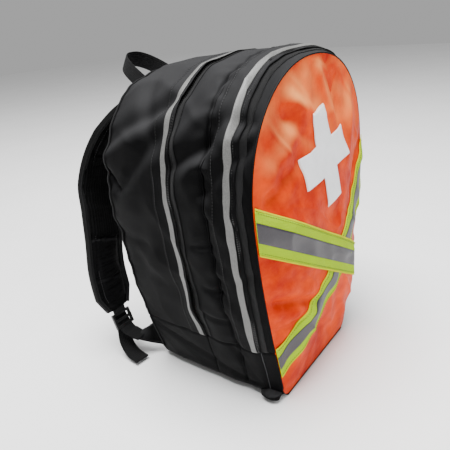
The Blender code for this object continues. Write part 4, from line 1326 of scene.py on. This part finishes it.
def shoulder_strap(word, side):
    body = f"shoulder_strap_{word}"
    line = row_frame(smooth_route(STRAP_ROUTE, 90), side)
    outward, across = strap_frame(line)
    share = np.linspace(0, 1, len(line))
    half = pad_half_width(share)
    size = joined((half - 0.0014) / PAD_HALF_WIDTH, 1)
    pad = swept(f"strap_pad_{word}_foam", line, outward,
                strap_profile(PAD_HALF_WIDTH, PAD_THICKNESS * 0.72, 24), STRAP_MESH, size)
    inflate(pad, 0.005)
    place = mesh_points(pad)
    travel, beside, out = on_line(place, line)
    length = run_of(line)[-1]
    share_at = travel / length
    nearest = np.clip((share_at * (len(line) - 1)).astype(int), 0, len(line) - 1)
    crease = np.zeros(len(place))
    for mark, depth in STRAP_CREASES:
        tilt = mark + 0.02 * noise_at(np.full((1, 3), mark), 1.0, 91)[0]
        crease += depth * bell(share_at - tilt - beside * 0.5, 0.01)
    for lane in (-STRAP_LANE, STRAP_LANE):
        crease += 0.0011 * bell(beside - lane * half[nearest], 0.0022) * (share_at > 0.05)
    push = np.sign(out) * (0.001 * noise_at(place, 0.03, 92) - crease)
    place = place + outward[nearest] * push[:, None]
    place = place + outward[nearest] * (0.0016 * noise_at(place, 0.055, 93))[:, None]
    set_points(pad, place)
    cloth_uv(pad.data, joined(beside, travel))
    pad.data.materials.clear()
    pad.data.materials.append(STRAP_MESH)
    pad.data.materials.append(NYLON)
    along, _, height = on_line(vectors(pad.data.polygons, "center"), line)
    plain = (along / length > NYLON_FROM) | (height > 0.002)
    pad.data.polygons.foreach_set("material_index", plain.astype(np.int32))
    finish_piece(pad, body, "black_mesh", f"strap_pad_{word}")
    for sign, edge in ((-1, "inner"), (1, "outer")):
        rim = line + across * (sign * (half - 0.0036))[:, None]
        binding = swept(f"strap_binding_{word}_{edge}", rim[1:-1], outward[1:-1],
                        strap_profile(0.0036, 0.0088, 14), WEBBING)
        finish_piece(binding, body, "black_webbing")
        for face in (-1, 1):
            row = line + across * (sign * half * STRAP_LANE)[:, None]
            row = row + outward * face * 0.0056
            name = f"strap_row_{word}_{edge}_{'face' if face > 0 else 'back'}"
            stitches(name, row[6:-4], outward[6:-4] * face, THREAD, body, "black_webbing")
    tops = row_frame(smooth_route(STRAP_TOP_ROUTE, 30), side)
    root = webbing_along(f"strap_root_{word}", tops, WEBBING_HALF + 0.002, 0.003)
    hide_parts(f"strap_anchor_{word}")
    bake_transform(root)
    low_run = row_frame(smooth_route(WEBBING_ROUTE, 60), side)
    webbing = swept(f"strap_webbing_{word}_cloth", low_run, strap_frame(low_run[::-1])[0][::-1],
                    strap_profile(WEBBING_HALF, WEBBING_THICKNESS), WEBBING)
    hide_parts(f"strap_webbing_{word}")
    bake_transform(webbing)
    keeper = row_frame(smooth_route(KEEPER_ROUTE, 20), side)
    piece = webbing_along(f"strap_keeper_{word}", keeper, WEBBING_HALF - 0.001, 0.005)
    finish_piece(piece, body, "black_webbing")
    tail = row_frame(smooth_route(TAIL_ROUTE, 50), side)
    piece = webbing_along(f"strap_tail_{word}_cloth", tail)
    finish_piece(piece, body, "black_webbing", f"strap_tail_{word}")


# ---- base ----------------------------------------------------------------------------------
BOARD_HALF_WIDTH, BOARD_FRONT, BOARD_BACK = 0.101, -0.106, 0.101


def base():
    """The cloth-covered board that the pack stands on, and the binding along its front."""
    rings = []
    for inset, z in ((0.004, 0.0002), (0.001, 0.001), (0.0, 0.002), (0.001, 0.0032)):
        low = (-BOARD_HALF_WIDTH + inset, 0, BOARD_FRONT + inset)
        high = (BOARD_HALF_WIDTH - inset, 0, BOARD_BACK - inset)
        flat = rounded_rectangle(low, high, 0.014)
        rings.append(to_world(flat[:, 0], flat[:, 1], z))
    piece = lofted("base_cloth", rings, NYLON, (0, 1))
    finish_piece(piece, "rear_section", "black_nylon", "base_board")
    line = to_world(np.linspace(-0.092, 0.092, 60), -0.1072, 0.0019)
    piece = swept("bottom_binding_webbing", line, np.array((0, 0.25, 1.0)),
                  strap_profile(0.003, 0.0016, 12), WEBBING)
    finish_piece(piece, "rear_section", "black_webbing", "bottom_binding")


GATHER_AT, GATHER_SIZE = (0.1085, -0.093, 0.0105), (0.017, 0.02, 0.0085)
GATHER_LOWEST = 0.0012


def gather(word, side, size):
    """Cloth bunched at a front bottom corner, where the side's fold is caught in the base seam."""
    turns, steps = 40, 22
    points = []
    for level in np.linspace(0, math.pi, steps):
        for turn in np.linspace(0, 2 * math.pi, turns, endpoint=False):
            pleat = 1 + 0.14 * math.cos(5 * turn + 1.5 * math.cos(level) + side)
            pleat += 0.07 * math.cos(11 * turn + 2.0 * level)
            radius = math.sin(level) * pleat * size
            x = GATHER_AT[0] + GATHER_SIZE[0] * size * math.cos(level)
            y = GATHER_AT[1] + GATHER_SIZE[1] * radius * math.cos(turn)
            z = GATHER_AT[2] + GATHER_SIZE[2] * radius * math.sin(turn)
            points.append((side * x, y, max(z, GATHER_LOWEST)))
    points = np.array(points)
    points = to_world(points[:, 0], points[:, 1], points[:, 2])
    piece = outward_normals(mesh_object(f"corner_gather_{word}", points,
                                        grid_faces(steps, turns, wrap_columns=True), NYLON,
                                        uv=points[:, (1, 2)]))
    finish_piece(piece, "middle_section", "black_nylon")


# ---- camera, light and floor ---------------------------------------------------------------
def camera():
    azimuth, elevation, roll = (math.radians(v) for v in (-52.834, 22.805, -4.879))
    back = Vector((math.sin(azimuth) * math.cos(elevation),
                   -math.cos(azimuth) * math.cos(elevation), math.sin(elevation)))
    right = (-back).cross(Vector((0, 0, 1))).normalized()
    up = right.cross(-back)
    rolled_right = math.cos(roll) * right + math.sin(roll) * up
    rolled_up = math.cos(roll) * up - math.sin(roll) * right
    data = bpy.data.cameras.new("camera")
    data.sensor_width = 36.0
    data.lens = 39.565
    data.clip_start = 0.01
    made = placed("camera", data)
    turn = Matrix((rolled_right, rolled_up, back)).transposed()
    place = Vector((-0.5668, -0.3842 - ORIGIN_DEPTH, 0.4959))
    made.matrix_world = Matrix.Translation(place) @ turn.to_4x4()
    bpy.context.scene.camera = made


def area_light(name, place, target, size, power):
    """A white square light, aimed at the target."""
    data = bpy.data.lights.new(name, "AREA")
    data.shape = "RECTANGLE"
    data.size = data.size_y = size
    data.energy = power
    turn = (Vector(target) - Vector(place)).to_track_quat("-Z", "Y").to_matrix()
    placed(name, data).matrix_world = Matrix.Translation(place) @ turn.to_4x4()


def studio():
    world = bpy.data.worlds.new("studio")
    bpy.context.scene.world = world
    world.use_nodes = True
    world.node_tree.nodes["Background"].inputs["Color"].default_value = (1, 1, 1, 1)
    world.node_tree.nodes["Background"].inputs["Strength"].default_value = 0.42
    n = Nodes("floor_paper")
    grain = n.add("ShaderNodeTexNoise", in_Scale=60.0, in_Detail=3.0)
    paper = n.ramp(grain.outputs["Fac"], [(0.3, grey(0.9)),
                                          (0.7, grey(0.93))])
    n.shade(Base_Color=paper, Roughness=0.9)
    size = 6.0
    floor = mesh_object("floor", [(-size, -size, 0), (size, -size, 0), (size, size, 0),
                                  (-size, size, 0)], [(0, 1, 2, 3)], n.material, smooth=False)
    area_light("key", (-0.35, 0.0, 2.6), (0, 0, 0.3), 1.6, 200)
    area_light("front", (-0.2, -2.0, 1.9), (0, 0, 0.3), 1.2, 18)


# ---- build ---------------------------------------------------------------------------------
camera()
studio()
rear_shell()
sleeve("middle_shell_cloth", FRONT_SPLIT + 0.0003, MAIN_SPLIT - 0.0003, "middle_section",
       "middle_shell", CENTRE_SEAM)
sleeve("front_gusset_cloth", FRONT_SEAM + 0.0002, FRONT_SPLIT - 0.0003, "front_lid",
       "front_gusset", FRONT_SEAM)
storm_flap("main", "rear_section", -0.0118, 21,
           ((-1, 0.165, 0.045, 0.0055), (-1, 0.42, 0.02, 0.004), (1, 0.2, 0.05, 0.004)),
           ("main_zip_flap", "main_reflective_strip"))
storm_flap("front", "middle_section", -0.0962, 22,
           ((-1, 0.215, 0.02, 0.0015), (1, 0.25, 0.05, 0.004)),
           ("front_zip_flap", "front_reflective_strip"))
ring_stitches("main_flap_row", 0.0155, 0.0016, "rear_section")
ring_stitches("front_flap_row", -0.0692, 0.0016, "middle_section")
zip_side("main_zip_rear", MAIN_SPLIT, 1, 0.014, "rear_section", ("main_zip_tape_rear",))
zip_side("main_zip_front", MAIN_SPLIT, -1, 0.01, "middle_section", ("main_zip_tape_front",))
zip_side("front_zip_rear", FRONT_SPLIT, 1, 0.006, "middle_section", ("front_zip_tape_rear",))
zip_side("front_zip_front", FRONT_SPLIT, -1, 0.0095, "front_lid", ("front_zip_tape_front",))
piping("back_edge_cord", BACK_EDGE - 0.001, 0.0019, 0.0004, WEBBING, "rear_section",
       "black_webbing", "back_edge_piping")
piping("centre_seam_cord", CENTRE_SEAM, 0.001, 0.0008, NYLON, "middle_section", "black_nylon",
       "centre_seam_piping", seam_wander)
# Thin black cord sunk into the front seam: partly piping, partly a painted shade line for the
# shadow in the seam.
piping("front_seam_cord", FRONT_SEAM, 0.0011, -0.0004, NYLON, "front_lid", "black_nylon",
       "front_seam_piping")
front_panel()
cross()
tapes()
for node, channels in (("back_pad_left", PAD_CHANNELS), ("back_pad_right", PAD_CHANNELS),
                       ("lumbar_pad", (0.077,))):
    back_pad(node, channels)
yoke()
divider()
pocket("divider_pocket", "divider_pocket", "divider_pocket_hem", "middle_section")
pocket("lid_pocket", "lid_mesh_pocket", "lid_pocket_hem", "front_lid")
elastic_loops("instrument_elastic", "instrument_loops", -1, 9, "middle_section")
elastic_loops("lower_elastic", "elastic_band_lower", -1, 4, "rear_section")
elastic_loops("upper_elastic", "elastic_band_upper", -1, 6, "rear_section")
haul_loop()
for word, side in (("left", -1), ("right", 1)):
    wing_tab(word, side)
    shoulder_strap(word, side)
gather("left", -1, 0.72)
gather("right", 1, 0.5)
base()
for finish, bevel, nodes in ((FOAM, 0.0006, ("frame_sheet",)),
                             (METAL, 0.0004, ("main_zip_slider", "front_zip_slider")),
                             (METAL, 0.0003, ("main_zip_pull", "front_zip_pull")),
                             (PLASTIC, 0.0008, ("ladder_lock_left", "ladder_lock_right"))):
    for node in nodes:
        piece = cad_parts[node]
        piece.data.materials.clear()
        piece.data.materials.append(finish)
        rounding = piece.modifiers.new("rounding", "BEVEL")
        rounding.width, rounding.segments = bevel, 3
        rounding.harden_normals = False
